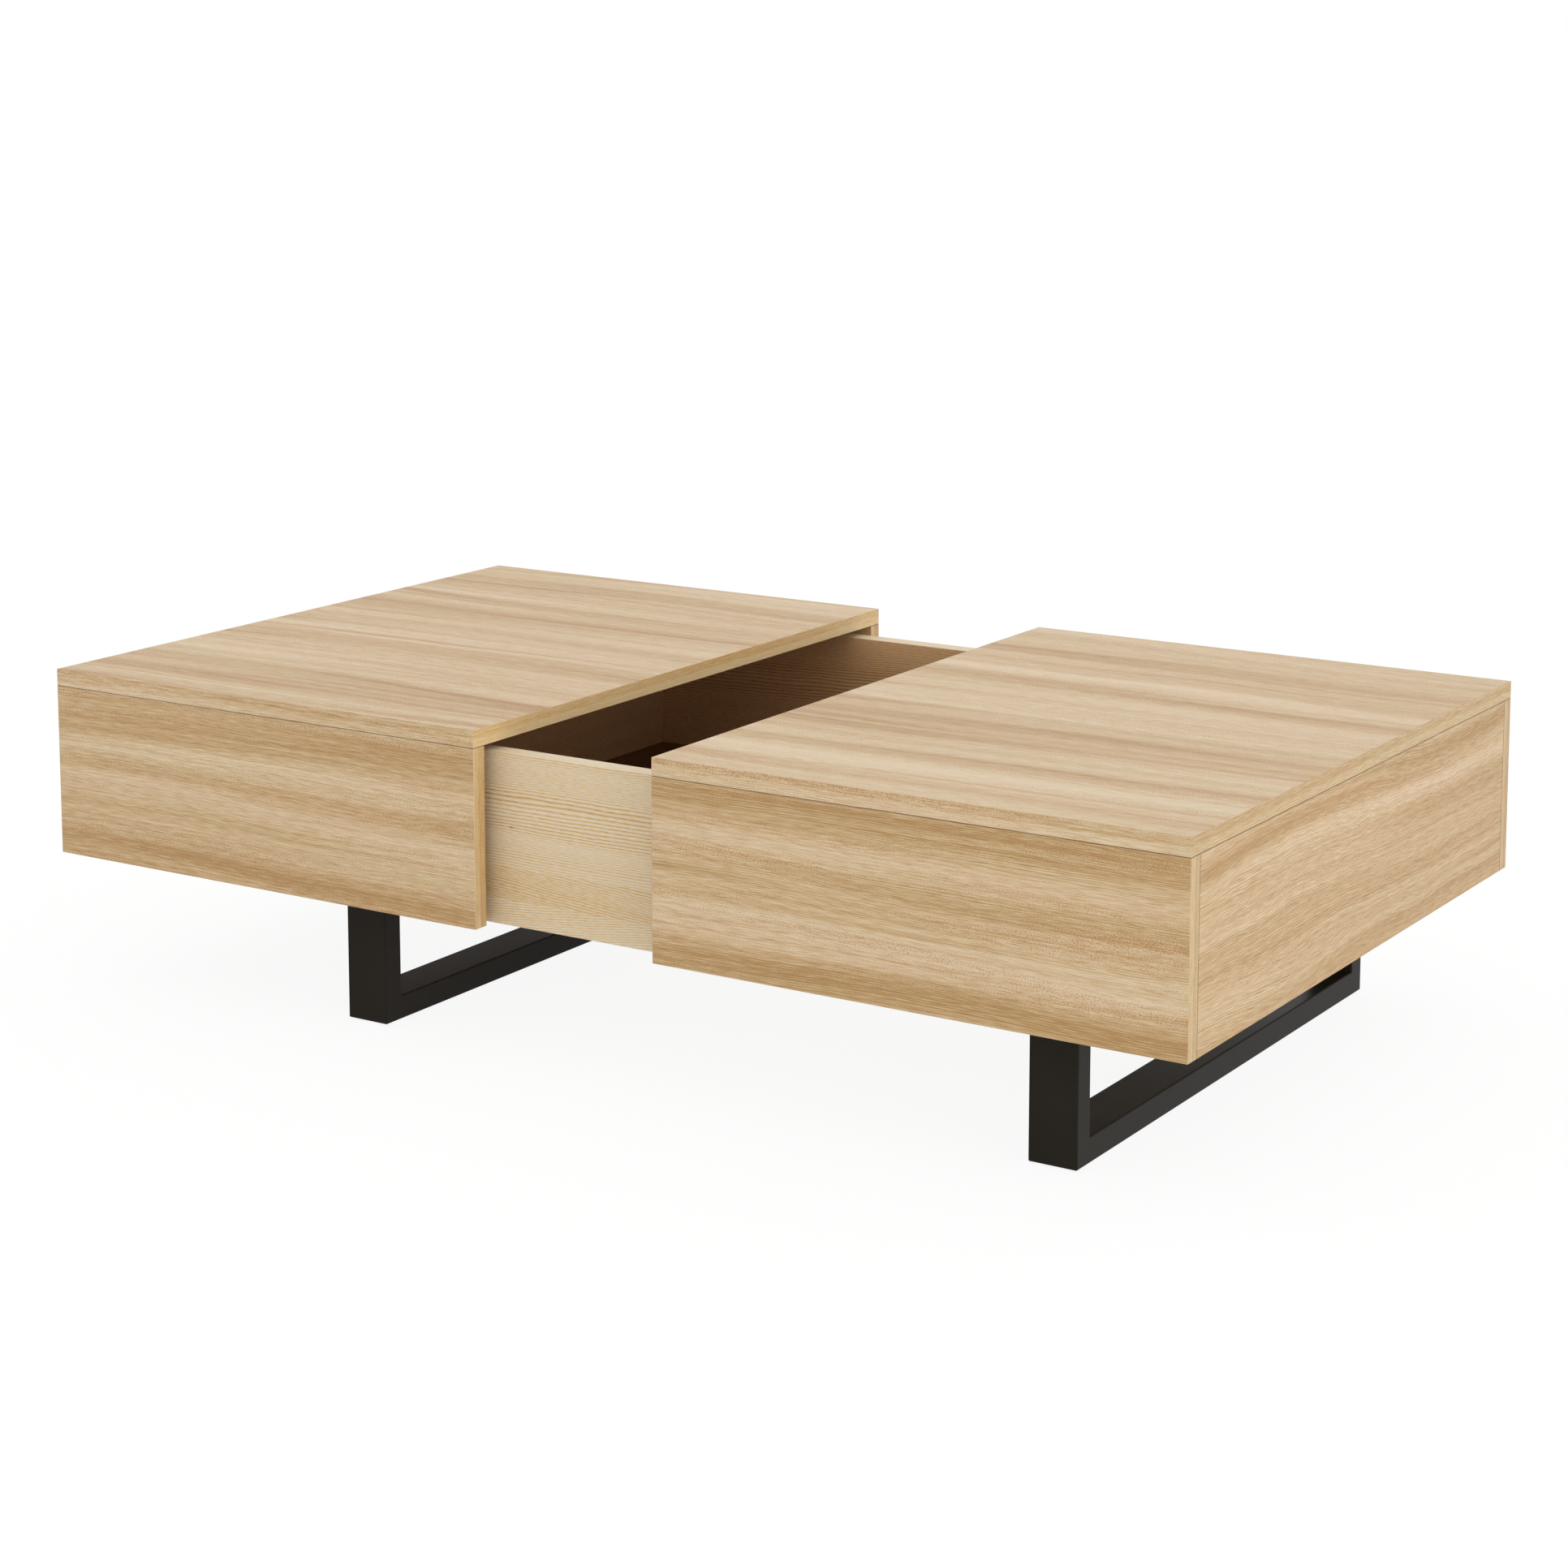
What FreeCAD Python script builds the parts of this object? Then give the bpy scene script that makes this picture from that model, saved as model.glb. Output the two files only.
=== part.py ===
"""Coffee table whose two halves slide apart along a fixed storage box.

The box stands on two steel sled legs.  Each half of the table is a sleeve, a top with a front, a
rear and an end panel, and hangs on two ball-bearing slides that are screwed to the box's long
walls.  The left half is drawn part open and the right half closed.

Frame: X along the table, Y from front to rear, Z up from the floor, in millimetres.  The origin is
on the floor, at the middle of the table's length and depth as it is drawn.
"""
import FreeCAD
import Part
import os
import re

# Driving dimensions: name, millimetres, meaning.
SIZES = (
    ("table_depth", "770", "front face to rear face"),
    ("sleeve_length", "558", "length of each half along the table"),
    ("panel_height", "182", "height of the front, rear and end panels"),
    ("board", "18", "thickness of the laminated boards"),
    ("edge_round", "0.6", "rounding of the laminated boards' edges"),
    ("meeting_gap", "1", "gap between the closed halves"),
    ("rest_opening", "210", "how far the left half is drawn open"),
    ("box_end_gap", "37.5", "end panel's inner face to the storage box's end, closed"),
    ("box_wall", "21", "thickness of the storage box's walls"),
    ("lid_gap", "8", "gap from the box's walls up to the tops"),
    ("box_floor", "18", "thickness of the storage box's bottom"),
    ("box_round", "1", "rounding of the storage box's edges"),
    ("leg_height", "140", "height of a leg frame"),
    ("leg_inset", "58.5", "table's front or rear face to the leg frame"),
    ("leg_end_inset", "135", "closed table's end to the leg frame"),
    ("tube_wide", "50", "leg tube's width along the table"),
    ("tube_deep", "25", "leg tube's other side"),
    ("tube_wall", "2", "leg tube's wall"),
    ("tube_round", "1.5", "leg tube's corner rounding"),
    ("pad_thickness", "2", "felt pad under a leg frame"),
    ("pad_radius", "10", "felt pad's radius"),
    ("pad_margin", "26", "felt pad's middle to the end of the leg frame"),
    ("slide_gap", "12.7", "room for a slide between box wall and panel"),
    ("rail_length", "250", "length of a slide when shut"),
    ("rail_level", "87", "slide's middle above the panels' lower edge"),
    ("rail_height", "45", "height of a slide's outer rail"),
    ("rail_sheet", "1.2", "sheet thickness of the rails"),
    ("outer_rail_deep", "9.2", "depth of the outer rail"),
    ("crown_gap", "0.8", "screw heads to the middle rail's web"),
    ("rail_play", "0.5", "depth clearance between the middle and inner rails"),
    ("lip_gap", "0.7", "a rail's lips to the next rail's flanges"),
    ("outer_ball", "1.75", "radius of the balls round the middle rail"),
    ("inner_ball", "1.5", "radius of the balls round the inner rail"),
    ("ball_play", "0.05", "clearance on each side of a ball"),
    ("ball_pitch", "18", "distance between neighbouring balls"),
    ("cage_end", "10", "last ball's middle to the end of its cage"),
    ("cage_sheet", "0.5", "sheet thickness of a ball cage"),
    ("cage_rim", "0.4", "cage material beside a ball hole"),
    ("cage_play", "0.1", "clearance round a ball in its cage"),
    ("rail_screw_radius", "1.75", "slide screw's shank radius"),
    ("rail_screw_depth", "12", "slide screw's length in the wood"),
    ("rail_screw_head", "3.4", "slide screw's head radius"),
    ("rail_screw_crown", "1.8", "slide screw's head height"),
    ("rail_screw_margin", "20", "slide screw to the end of the rail"),
    ("fit", "0.05", "radial clearance of a fastener in its hole"),
    ("box_screw_radius", "3.5", "box screw's shank radius"),
    ("box_screw_length", "50", "box screw's whole length"),
    ("box_screw_head", "5", "box screw's head radius"),
    ("box_screw_crown", "3", "box screw's head height, sunk flush"),
    ("box_screw_margin", "30", "corner screws to the box wall's edges"),
    ("box_screw_inset", "63", "floor screws to the ends of the box"),
    ("box_screw_step", "140", "distance between a wall's floor screws"),
    ("end_screw_margin", "60", "floor screws to the ends of an end wall"),
    ("box_dowel_place", "100", "floor dowels to the box's middle"),
    ("leg_screw_radius", "2.5", "leg screw's shank radius"),
    ("leg_screw_depth", "14", "leg screw's length in the box's bottom"),
    ("leg_screw_head", "5", "leg screw's head radius"),
    ("leg_screw_crown", "3", "leg screw's head height"),
    ("leg_screw_margin", "60", "outer leg screw to the end of the frame"),
    ("leg_screw_step", "150", "outer leg screw to the next one"),
    ("leg_access", "7", "radius of the screwdriver holes in the top bar"),
    ("dowel_radius", "4", "wooden dowel's radius"),
    ("dowel_in_face", "11", "dowel's length in a board's face"),
    ("dowel_in_edge", "19", "dowel's length in a board's edge"),
    ("cam_radius", "7.5", "cam lock's radius"),
    ("cam_depth", "12.5", "cam lock's depth"),
    ("cam_inset", "24", "cam lock's middle to the board's edge"),
    ("cam_margin", "60", "outer cam locks to the ends of an edge"),
    ("cam_side_margin", "40", "end panel's side cam locks to its corners"),
    ("cam_slot_wide", "1.6", "screwdriver slot across a cam lock"),
    ("cam_slot_deep", "2", "depth of the screwdriver slot"),
    ("dowel_step", "32", "dowel to the nearest cam lock"),
    ("bolt_shank", "3.5", "cam bolt's shank radius"),
    ("bolt_head_radius", "3.2", "cam bolt's head radius"),
    ("bolt_head", "4", "length of the cam bolt's head"),
    ("bolt_neck_radius", "2", "cam bolt's neck radius"),
    ("bolt_neck", "4", "length of the cam bolt's neck"),
    ("bolt_overrun", "2", "cam bolt's head past the cam's middle"),
    ("bolt_thread_radius", "2.5", "cam bolt's thread radius"),
    ("bolt_thread", "11", "cam bolt's thread in the other board"),
)
BALLS_IN_A_ROW = 6

# Shares of a half's travel that the parts between its rails make.
MIDDLE_RAIL_SHARE = 0.5
CAGE_SHARES = {"outer": 0.25, "inner": 0.75}

# Turns about X, in degrees, of the blocks that cut the leg frames' mitres.
POST_MITRES = {"front": -45, "rear": 135}
FOOT_BAR_MITRE = 45
TOP_BAR_MITRE = 225

# Levels above the floor.
UNDERSIDE = "(pad_thickness + leg_height)"
LID = f"({UNDERSIDE} + panel_height)"
WALL_TOP = f"({LID} - lid_gap)"
RAIL_LEVEL = f"({UNDERSIDE} + rail_level)"
FLOOR_MIDDLE = f"({UNDERSIDE} + box_floor / 2)"

# Distances from the table's middle plane, front or rear.
FACE = "(table_depth / 2)"
PANEL_IN = "(table_depth / 2 - board)"
BOX_OUT = "(table_depth / 2 - board - slide_gap)"
BOX_IN = "(table_depth / 2 - board - slide_gap - box_wall)"
LEG_OUT = "(table_depth / 2 - leg_inset)"

# Distances from the box's middle, left or right, with the halves closed.
MEETING = "(meeting_gap / 2)"
SLEEVE_END = "(meeting_gap / 2 + sleeve_length)"
BOX_END = f"({SLEEVE_END} - board - box_end_gap)"
BOX_END_IN = f"({BOX_END} - box_wall)"
RAIL_NEAR = f"({BOX_END} - rail_length)"
RAIL_MIDDLE = f"({BOX_END} - rail_length / 2)"
LEG_END = f"({SLEEVE_END} - leg_end_inset)"
LEG_IN = f"({LEG_END} - tube_wide)"
LEG_MIDDLE = f"({LEG_END} - tube_wide / 2)"

# The middle of the box along X.
MIDDLE = "(rest_opening / 2)"

# The slides' section: half heights, and depths from the box wall.
OUTER_INSIDE = "(rail_height / 2 - rail_sheet)"
MIDDLE_OUTSIDE = f"({OUTER_INSIDE} - 2 * outer_ball - 2 * ball_play)"
MIDDLE_INSIDE = f"({MIDDLE_OUTSIDE} - rail_sheet)"
INNER_OUTSIDE = f"({MIDDLE_INSIDE} - 2 * inner_ball - 2 * ball_play)"
MIDDLE_NEAR = "(rail_sheet + rail_screw_crown + crown_gap)"
MIDDLE_FAR = "(slide_gap - rail_sheet - rail_play)"
INNER_NEAR = f"({MIDDLE_NEAR} + rail_sheet + rail_play)"
BALL_HEIGHTS = {
    "outer": f"({OUTER_INSIDE} - ball_play - outer_ball)",
    "inner": f"({MIDDLE_INSIDE} - ball_play - inner_ball)",
}
BALL_DEPTHS = {
    "outer": "(outer_rail_deep / 2)",
    "inner": f"(({MIDDLE_NEAR} + {MIDDLE_FAR}) / 2)",
}

X_AXIS = FreeCAD.Vector(1, 0, 0)
Y_AXIS = FreeCAD.Vector(0, 1, 0)
UPRIGHT = FreeCAD.Rotation()
HEADINGS = {
    "+z": UPRIGHT,
    "-z": FreeCAD.Rotation(X_AXIS, 180),
    "+x": FreeCAD.Rotation(Y_AXIS, 90),
    "-x": FreeCAD.Rotation(Y_AXIS, -90),
    "+y": FreeCAD.Rotation(X_AXIS, -90),
    "-y": FreeCAD.Rotation(X_AXIS, 90),
}

doc = FreeCAD.newDocument("sliding_top_coffee_table")
nodes = []


def fill_sheet():
    """Write the driving dimensions into the spreadsheet, one alias to a row."""
    sheet = doc.addObject("Spreadsheet::Sheet", "Sizes")
    for row, (name, value, meaning) in enumerate(SIZES, start=1):
        sheet.set(f"A{row}", meaning)
        sheet.set(f"B{row}", value)
        sheet.setAlias(f"B{row}", name)


def bind(item, prop, formula):
    """Tie a property to the sheet: each word of the formula is one of its aliases."""
    item.setExpression(prop, re.sub("[a-z_]+", r"Sizes.\g<0>", formula))


def place(item, at, turn=UPRIGHT):
    """Turn an object, and tie the place of its origin to the sheet."""
    item.Placement = FreeCAD.Placement(FreeCAD.Vector(), turn)
    for axis, formula in zip("xyz", at):
        bind(item, f"Placement.Base.{axis}", formula)


def ahead(at, heading, distance):
    """The point that lies a distance ahead of another, such as heading "-y"."""
    sign, axis = heading
    moved = list(at)
    moved["xyz".index(axis)] += f" {sign} ({distance})"
    return tuple(moved)


class Way:
    """Counts distances along X or Y from a start, away from the table's middle."""

    def __init__(self, axis, sign, start):
        self.sign = sign
        self.start = start
        self.out = sign + axis
        self.back = ("-" if sign == "+" else "+") + axis

    def at(self, distance):
        """The coordinate at a distance."""
        return f"{self.start} {self.sign} ({distance})"

    def low(self, near, far):
        """The lowest coordinate of what lies between two distances."""
        return self.at(near if self.sign == "+" else far)


class Piece:
    """One solid sub-part, a PartDesign body that starts as a block.

    Places are given in the table's frame, and the body's own Placement is its lowest corner.
    """

    def __init__(self, label, corner, size, rounding=None):
        self.corner = corner
        self.body = doc.addObject("PartDesign::Body", label)
        self.body.Label = label
        place(self.body, corner)
        block = self.block("AdditiveBox", corner, size)
        if rounding:
            doc.recompute()
            fillet = self.body.newObject("PartDesign::Fillet", "Rounding")
            fillet.Base = (block, ["Edge1"])
            fillet.UseAllEdges = True
            bind(fillet, "Radius", rounding)
        nodes.append(self.body)

    def feature(self, kind, at, turn):
        """Add a primitive to the body, at a place in the table's frame."""
        item = self.body.newObject(f"PartDesign::{kind}", kind)
        item.Refine = kind == "AdditiveBox"
        place(item, [f"{there} - ({here})" for there, here in zip(at, self.corner)], turn)
        return item

    def block(self, kind, at, size, turn=UPRIGHT):
        """Add or take away a box of a size along X, Y and Z."""
        item = self.feature(kind, at, turn)
        for prop, formula in zip(("Length", "Width", "Height"), size):
            bind(item, prop, formula)
        return item

    def drill(self, heading, radius, depth, at):
        """Take away a round hole that starts at a point and runs along a heading."""
        item = self.feature("SubtractiveCylinder", at, HEADINGS[heading])
        bind(item, "Radius", radius)
        bind(item, "Height", depth)


def cylinder(heading, radius, length, at):
    """A plain cylinder from a point along a heading."""
    item = doc.addObject("Part::Cylinder", "Cylinder")
    bind(item, "Radius", radius)
    bind(item, "Height", length)
    place(item, at, HEADINGS[heading])
    return item


def fuse(items):
    """Join several solids into one."""
    whole = doc.addObject("Part::MultiFuse", "Fusion")
    whole.Shapes = items
    return whole


def cut(base, tool):
    """Take one solid from another."""
    item = doc.addObject("Part::Cut", "Cut")
    item.Base = base
    item.Tool = tool
    return item


def group(label, members):
    """Put identical solids together as one named node."""
    node = doc.addObject("Part::Compound", label)
    node.Links = members
    node.Label = label
    nodes.append(node)


def peg(heading, at, steps):
    """A fastener turned from end-to-end cylinders, with its hole in each piece it runs through.

    Each step is a radius, a length and the piece that it lies in, or None where it lies in the open.
    """
    rings = []
    for radius, length, piece in steps:
        rings.append(cylinder(heading, radius, length, at))
        if piece:
            piece.drill(heading, f"{radius} + fit", length, at)
        at = ahead(at, heading, length)
    return fuse(rings)


def edge_sites(length):
    """Where an edge has its cam locks and its dowels, counted from one end."""
    cams = ("cam_margin", f"{length} / 2", f"{length} - cam_margin")
    dowels = ("cam_margin + dowel_step", f"{length} - cam_margin - dowel_step")
    return cams, dowels


FRONT = Way("y", "-", "0")
REAR = Way("y", "+", "0")
FRONT_AND_REAR = (("front", FRONT), ("rear", REAR))


class Half:
    """The left or right end of the table, and how far its moving parts are drawn open."""

    def __init__(self, name, sign, opening):
        self.name = name
        self.sign = sign
        self.opening = opening

    def way(self, share):
        """Counts along X on parts that move by a share of this half's travel."""
        return Way("x", self.sign, f"{MIDDLE} {self.sign} ({self.opening} * {share})")


LEFT = Half("left", "-", "rest_opening")
RIGHT = Half("right", "+", "0")


class StorageBox:
    """The fixed box: two long walls, two end walls between them, and a bottom inside them."""

    def __init__(self):
        self.screws = []
        self.dowels = []
        inner_depth = f"2 * {BOX_IN}"
        wall_height = "panel_height - lid_gap"
        self.bottom = Piece(
            "box_bottom_panel",
            (f"{MIDDLE} - {BOX_END_IN}", f"0 - {BOX_IN}", UNDERSIDE),
            (f"2 * {BOX_END_IN}", inner_depth, "box_floor"),
        )
        self.walls = {}
        for name, y in FRONT_AND_REAR:
            self.walls[name] = Piece(
                f"box_{name}_wall",
                (f"{MIDDLE} - {BOX_END}", y.low(BOX_IN, BOX_OUT), UNDERSIDE),
                (f"2 * {BOX_END}", "box_wall", wall_height),
                "box_round",
            )
        for half in (LEFT, RIGHT):
            x = half.way(0)
            end = Piece(
                f"box_{half.name}_end_wall",
                (x.low(BOX_END_IN, BOX_END), f"0 - {BOX_IN}", UNDERSIDE),
                ("box_wall", inner_depth, wall_height),
                "box_round",
            )
            self.join_end(end, x)
            self.join_bottom(x)
        group("box_screws", self.screws)
        group("box_dowels", self.dowels)

    def screw(self, heading, at, wall, mate):
        """A long screw, sunk flush in a wall and driven into the edge of another board."""
        self.screws.append(peg(heading, at, (
            ("box_screw_head", "box_screw_crown", wall),
            ("box_screw_radius", "box_wall - box_screw_crown", wall),
            ("box_screw_radius", "box_screw_length - box_wall", mate),
        )))

    def dowel(self, y, x_place, z_place, wall, mate):
        """A dowel from a blind hole in a long wall's inner face into the edge of another board."""
        start = (x_place, y.at(f"{BOX_IN} + dowel_in_face"), z_place)
        self.dowels.append(peg(y.back, start, (
            ("dowel_radius", "dowel_in_face", wall),
            ("dowel_radius", "dowel_in_edge", mate),
        )))

    def join_end(self, end, x):
        """Screw and dowel an end wall between the long walls, and screw it to the bottom."""
        middle = x.at(f"{BOX_END} - box_wall / 2")
        low = f"{UNDERSIDE} + box_screw_margin"
        high = f"{WALL_TOP} - box_screw_margin"
        for name, y in FRONT_AND_REAR:
            wall = self.walls[name]
            for level in (low, high):
                self.screw(y.back, (middle, y.at(BOX_OUT), level), wall, end)
            self.dowel(y, middle, RAIL_LEVEL, wall, end)
        for y_place in (f"{BOX_IN} - end_screw_margin", "0", f"end_screw_margin - {BOX_IN}"):
            self.screw(x.back, (x.at(BOX_END), y_place, FLOOR_MIDDLE), end, self.bottom)

    def join_bottom(self, x):
        """Screw the long walls to the bottom where the halves hide them, and dowel it between."""
        far = f"{BOX_END} - box_screw_inset"
        for name, y in FRONT_AND_REAR:
            wall = self.walls[name]
            for distance in (far, f"{far} - box_screw_step"):
                spot = (x.at(distance), y.at(BOX_OUT), FLOOR_MIDDLE)
                self.screw(y.back, spot, wall, self.bottom)
            self.dowel(y, x.at("box_dowel_place"), FLOOR_MIDDLE, wall, self.bottom)


class LegFrame:
    """A sled leg: four flat tubes mitred into an upright rectangle, screwed under the box."""

    def __init__(self, half, bottom):
        self.half = half
        self.x = half.way(0)
        self.x_low = self.x.low(LEG_IN, LEG_END)
        self.posts()
        self.bar("foot_bar", "pad_thickness", FOOT_BAR_MITRE, "0")
        top_bar = self.bar("top_bar", f"{UNDERSIDE} - tube_deep", TOP_BAR_MITRE, "tube_deep")
        self.screws(top_bar, bottom)
        self.pads()

    def mitre(self, piece, angle, y_place, z_place):
        """Cut a tube's end at 45 degrees with a turned block, from the frame's outer corner."""
        size = ("tube_wide", "2 * tube_deep", "2 * tube_deep")
        turn = FreeCAD.Rotation(X_AXIS, angle)
        piece.block("SubtractiveBox", (self.x_low, y_place, z_place), size, turn)

    def posts(self):
        """The front and rear uprights."""
        for name, y in FRONT_AND_REAR:
            y_low = y.low(f"{LEG_OUT} - tube_deep", LEG_OUT)
            corner = (self.x_low, y_low, "pad_thickness")
            post = Piece(
                f"{self.half.name}_leg_{name}_post",
                corner,
                ("tube_wide", "tube_deep", "leg_height"),
                "tube_round",
            )
            hollow = (f"{self.x_low} + tube_wall", f"{y_low} + tube_wall", "pad_thickness")
            bore = ("tube_wide - 2 * tube_wall", "tube_deep - 2 * tube_wall", "leg_height")
            post.block("SubtractiveBox", hollow, bore)
            for level in ("pad_thickness", UNDERSIDE):
                self.mitre(post, POST_MITRES[name], y.at(LEG_OUT), level)

    def bar(self, name, level, angle, corner_rise):
        """The bar along the floor or under the box."""
        y_low = f"0 - {LEG_OUT}"
        bar = Piece(
            f"{self.half.name}_leg_{name}",
            (self.x_low, y_low, level),
            ("tube_wide", f"2 * {LEG_OUT}", "tube_deep"),
            "tube_round",
        )
        hollow = (f"{self.x_low} + tube_wall", y_low, f"{level} + tube_wall")
        bore = ("tube_wide - 2 * tube_wall", f"2 * {LEG_OUT}", "tube_deep - 2 * tube_wall")
        bar.block("SubtractiveBox", hollow, bore)
        for y in (FRONT, REAR):
            self.mitre(bar, angle, y.at(LEG_OUT), f"{level} + {corner_rise}")
        return bar

    def screws(self, top_bar, bottom):
        """Screws inside the top bar, driven up into the box's bottom through access holes."""
        screws = []
        x_middle = self.x.at(LEG_MIDDLE)
        for y in (FRONT, REAR):
            outer = f"{LEG_OUT} - leg_screw_margin"
            for distance in (outer, f"{outer} - leg_screw_step"):
                spot = (x_middle, y.at(distance), f"{UNDERSIDE} - tube_wall - leg_screw_crown")
                screws.append(peg("+z", spot, (
                    ("leg_screw_head", "leg_screw_crown", None),
                    ("leg_screw_radius", "tube_wall", top_bar),
                    ("leg_screw_radius", "leg_screw_depth", bottom),
                )))
                access = (x_middle, y.at(distance), f"{UNDERSIDE} - tube_deep")
                top_bar.drill("+z", "leg_access", "tube_wall", access)
        group(f"{self.half.name}_leg_screws", screws)

    def pads(self):
        """Round felt pads under the foot bar's ends."""
        x_middle = self.x.at(LEG_MIDDLE)
        spots = [(x_middle, y.at(f"{LEG_OUT} - pad_margin"), "0") for y in (FRONT, REAR)]
        discs = [cylinder("+z", "pad_radius", "pad_thickness", spot) for spot in spots]
        group(f"{self.half.name}_foot_pads", discs)


class Sleeve:
    """One sliding half: a top on a front, a rear and an end panel, open below and at its mouth."""

    def __init__(self, half):
        self.half = half
        self.x = half.way(1)
        self.x_low = self.x.low(MEETING, SLEEVE_END)
        self.cams = []
        self.bolts = []
        self.dowels = []
        self.top = Piece(
            f"{half.name}_top_panel",
            (self.x_low, f"0 - {FACE}", LID),
            ("sleeve_length", "table_depth", "board"),
            "edge_round",
        )
        self.end = Piece(
            f"{half.name}_end_panel",
            (self.x.low(f"{SLEEVE_END} - board", SLEEVE_END), f"0 - {PANEL_IN}", UNDERSIDE),
            ("board", f"2 * {PANEL_IN}", "panel_height"),
            "edge_round",
        )
        self.panels = {}
        for name, y in FRONT_AND_REAR:
            self.panels[name] = Piece(
                f"{half.name}_{name}_panel",
                (self.x_low, y.low(PANEL_IN, FACE), UNDERSIDE),
                ("sleeve_length", "board", "panel_height"),
                "edge_round",
            )
            self.join_panel(self.panels[name], y)
        self.join_end()
        group(f"{half.name}_cam_locks", self.cams)
        group(f"{half.name}_cam_bolts", self.bolts)
        group(f"{half.name}_dowels", self.dowels)

    def cam(self, board, mate, face_heading, edge_heading, at):
        """A cam lock let into a board's inner face, and the bolt that it pulls from another board.

        The point lies on the board's middle plane, at the edge where the boards meet.
        """
        centre = ahead(at, edge_heading, "0 - cam_inset")
        mouth = ahead(centre, face_heading, "0 - board / 2")
        board.drill(face_heading, "cam_radius + fit", "cam_depth", mouth)
        disc = cylinder(face_heading, "cam_radius", "cam_depth", mouth)
        channel_start = ahead(centre, edge_heading, "0 - bolt_overrun - fit")
        channel = cylinder(edge_heading, "bolt_shank + fit", "2 * cam_radius", channel_start)
        self.cams.append(cut(cut(disc, channel), self.slot(face_heading, mouth)))
        head = ahead(centre, edge_heading, "0 - bolt_overrun")
        shank = "cam_inset + bolt_overrun - bolt_head - bolt_neck"
        self.bolts.append(peg(edge_heading, head, (
            ("bolt_head_radius", "bolt_head", None),
            ("bolt_neck_radius", "bolt_neck", None),
            ("bolt_shank", shank, board),
            ("bolt_thread_radius", "bolt_thread", mate),
        )))

    def slot(self, heading, mouth):
        """The block that cuts a screwdriver slot across a cam lock's face."""
        size = ["cam_radius", "cam_radius", "cam_slot_wide"]
        size["xyz".index(heading[1])] = "2 * cam_slot_deep"
        item = doc.addObject("Part::Box", "Slot")
        for prop, formula in zip(("Length", "Width", "Height"), size):
            bind(item, prop, formula)
        place(item, [f"{middle} - {extent} / 2" for middle, extent in zip(mouth, size)])
        return item

    def dowel(self, heading, at, board, mate):
        """A dowel from a board's edge into the face of another board."""
        start = ahead(at, heading, "0 - dowel_in_edge")
        self.dowels.append(peg(heading, start, (
            ("dowel_radius", "dowel_in_edge", board),
            ("dowel_radius", "dowel_in_face", mate),
        )))

    def join_panel(self, panel, y):
        """Fix the top on a long panel's upper edge."""
        cams, dowels = edge_sites("sleeve_length")
        middle = y.at(f"{PANEL_IN} + board / 2")
        for site in cams:
            spot = (self.x.at(f"{MEETING} + {site}"), middle, LID)
            self.cam(panel, self.top, y.out, "+z", spot)
        for site in dowels:
            spot = (self.x.at(f"{MEETING} + {site}"), middle, LID)
            self.dowel("+z", spot, panel, self.top)

    def join_end(self):
        """Fix the end panel to the top, and between the front and rear panels."""
        cams, dowels = edge_sites(f"(2 * {PANEL_IN})")
        middle = self.x.at(f"{SLEEVE_END} - board / 2")
        for site in cams:
            spot = (middle, f"{site} - {PANEL_IN}", LID)
            self.cam(self.end, self.top, self.x.out, "+z", spot)
        for site in dowels:
            spot = (middle, f"{site} - {PANEL_IN}", LID)
            self.dowel("+z", spot, self.end, self.top)
        low = f"{UNDERSIDE} + cam_side_margin"
        high = f"{LID} - cam_side_margin"
        for name, y in FRONT_AND_REAR:
            panel = self.panels[name]
            for level in (low, high):
                self.cam(self.end, panel, self.x.out, y.out, (middle, y.at(PANEL_IN), level))
            spot = (middle, y.at(PANEL_IN), f"{UNDERSIDE} + panel_height / 2")
            self.dowel(y.out, spot, self.end, panel)


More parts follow.
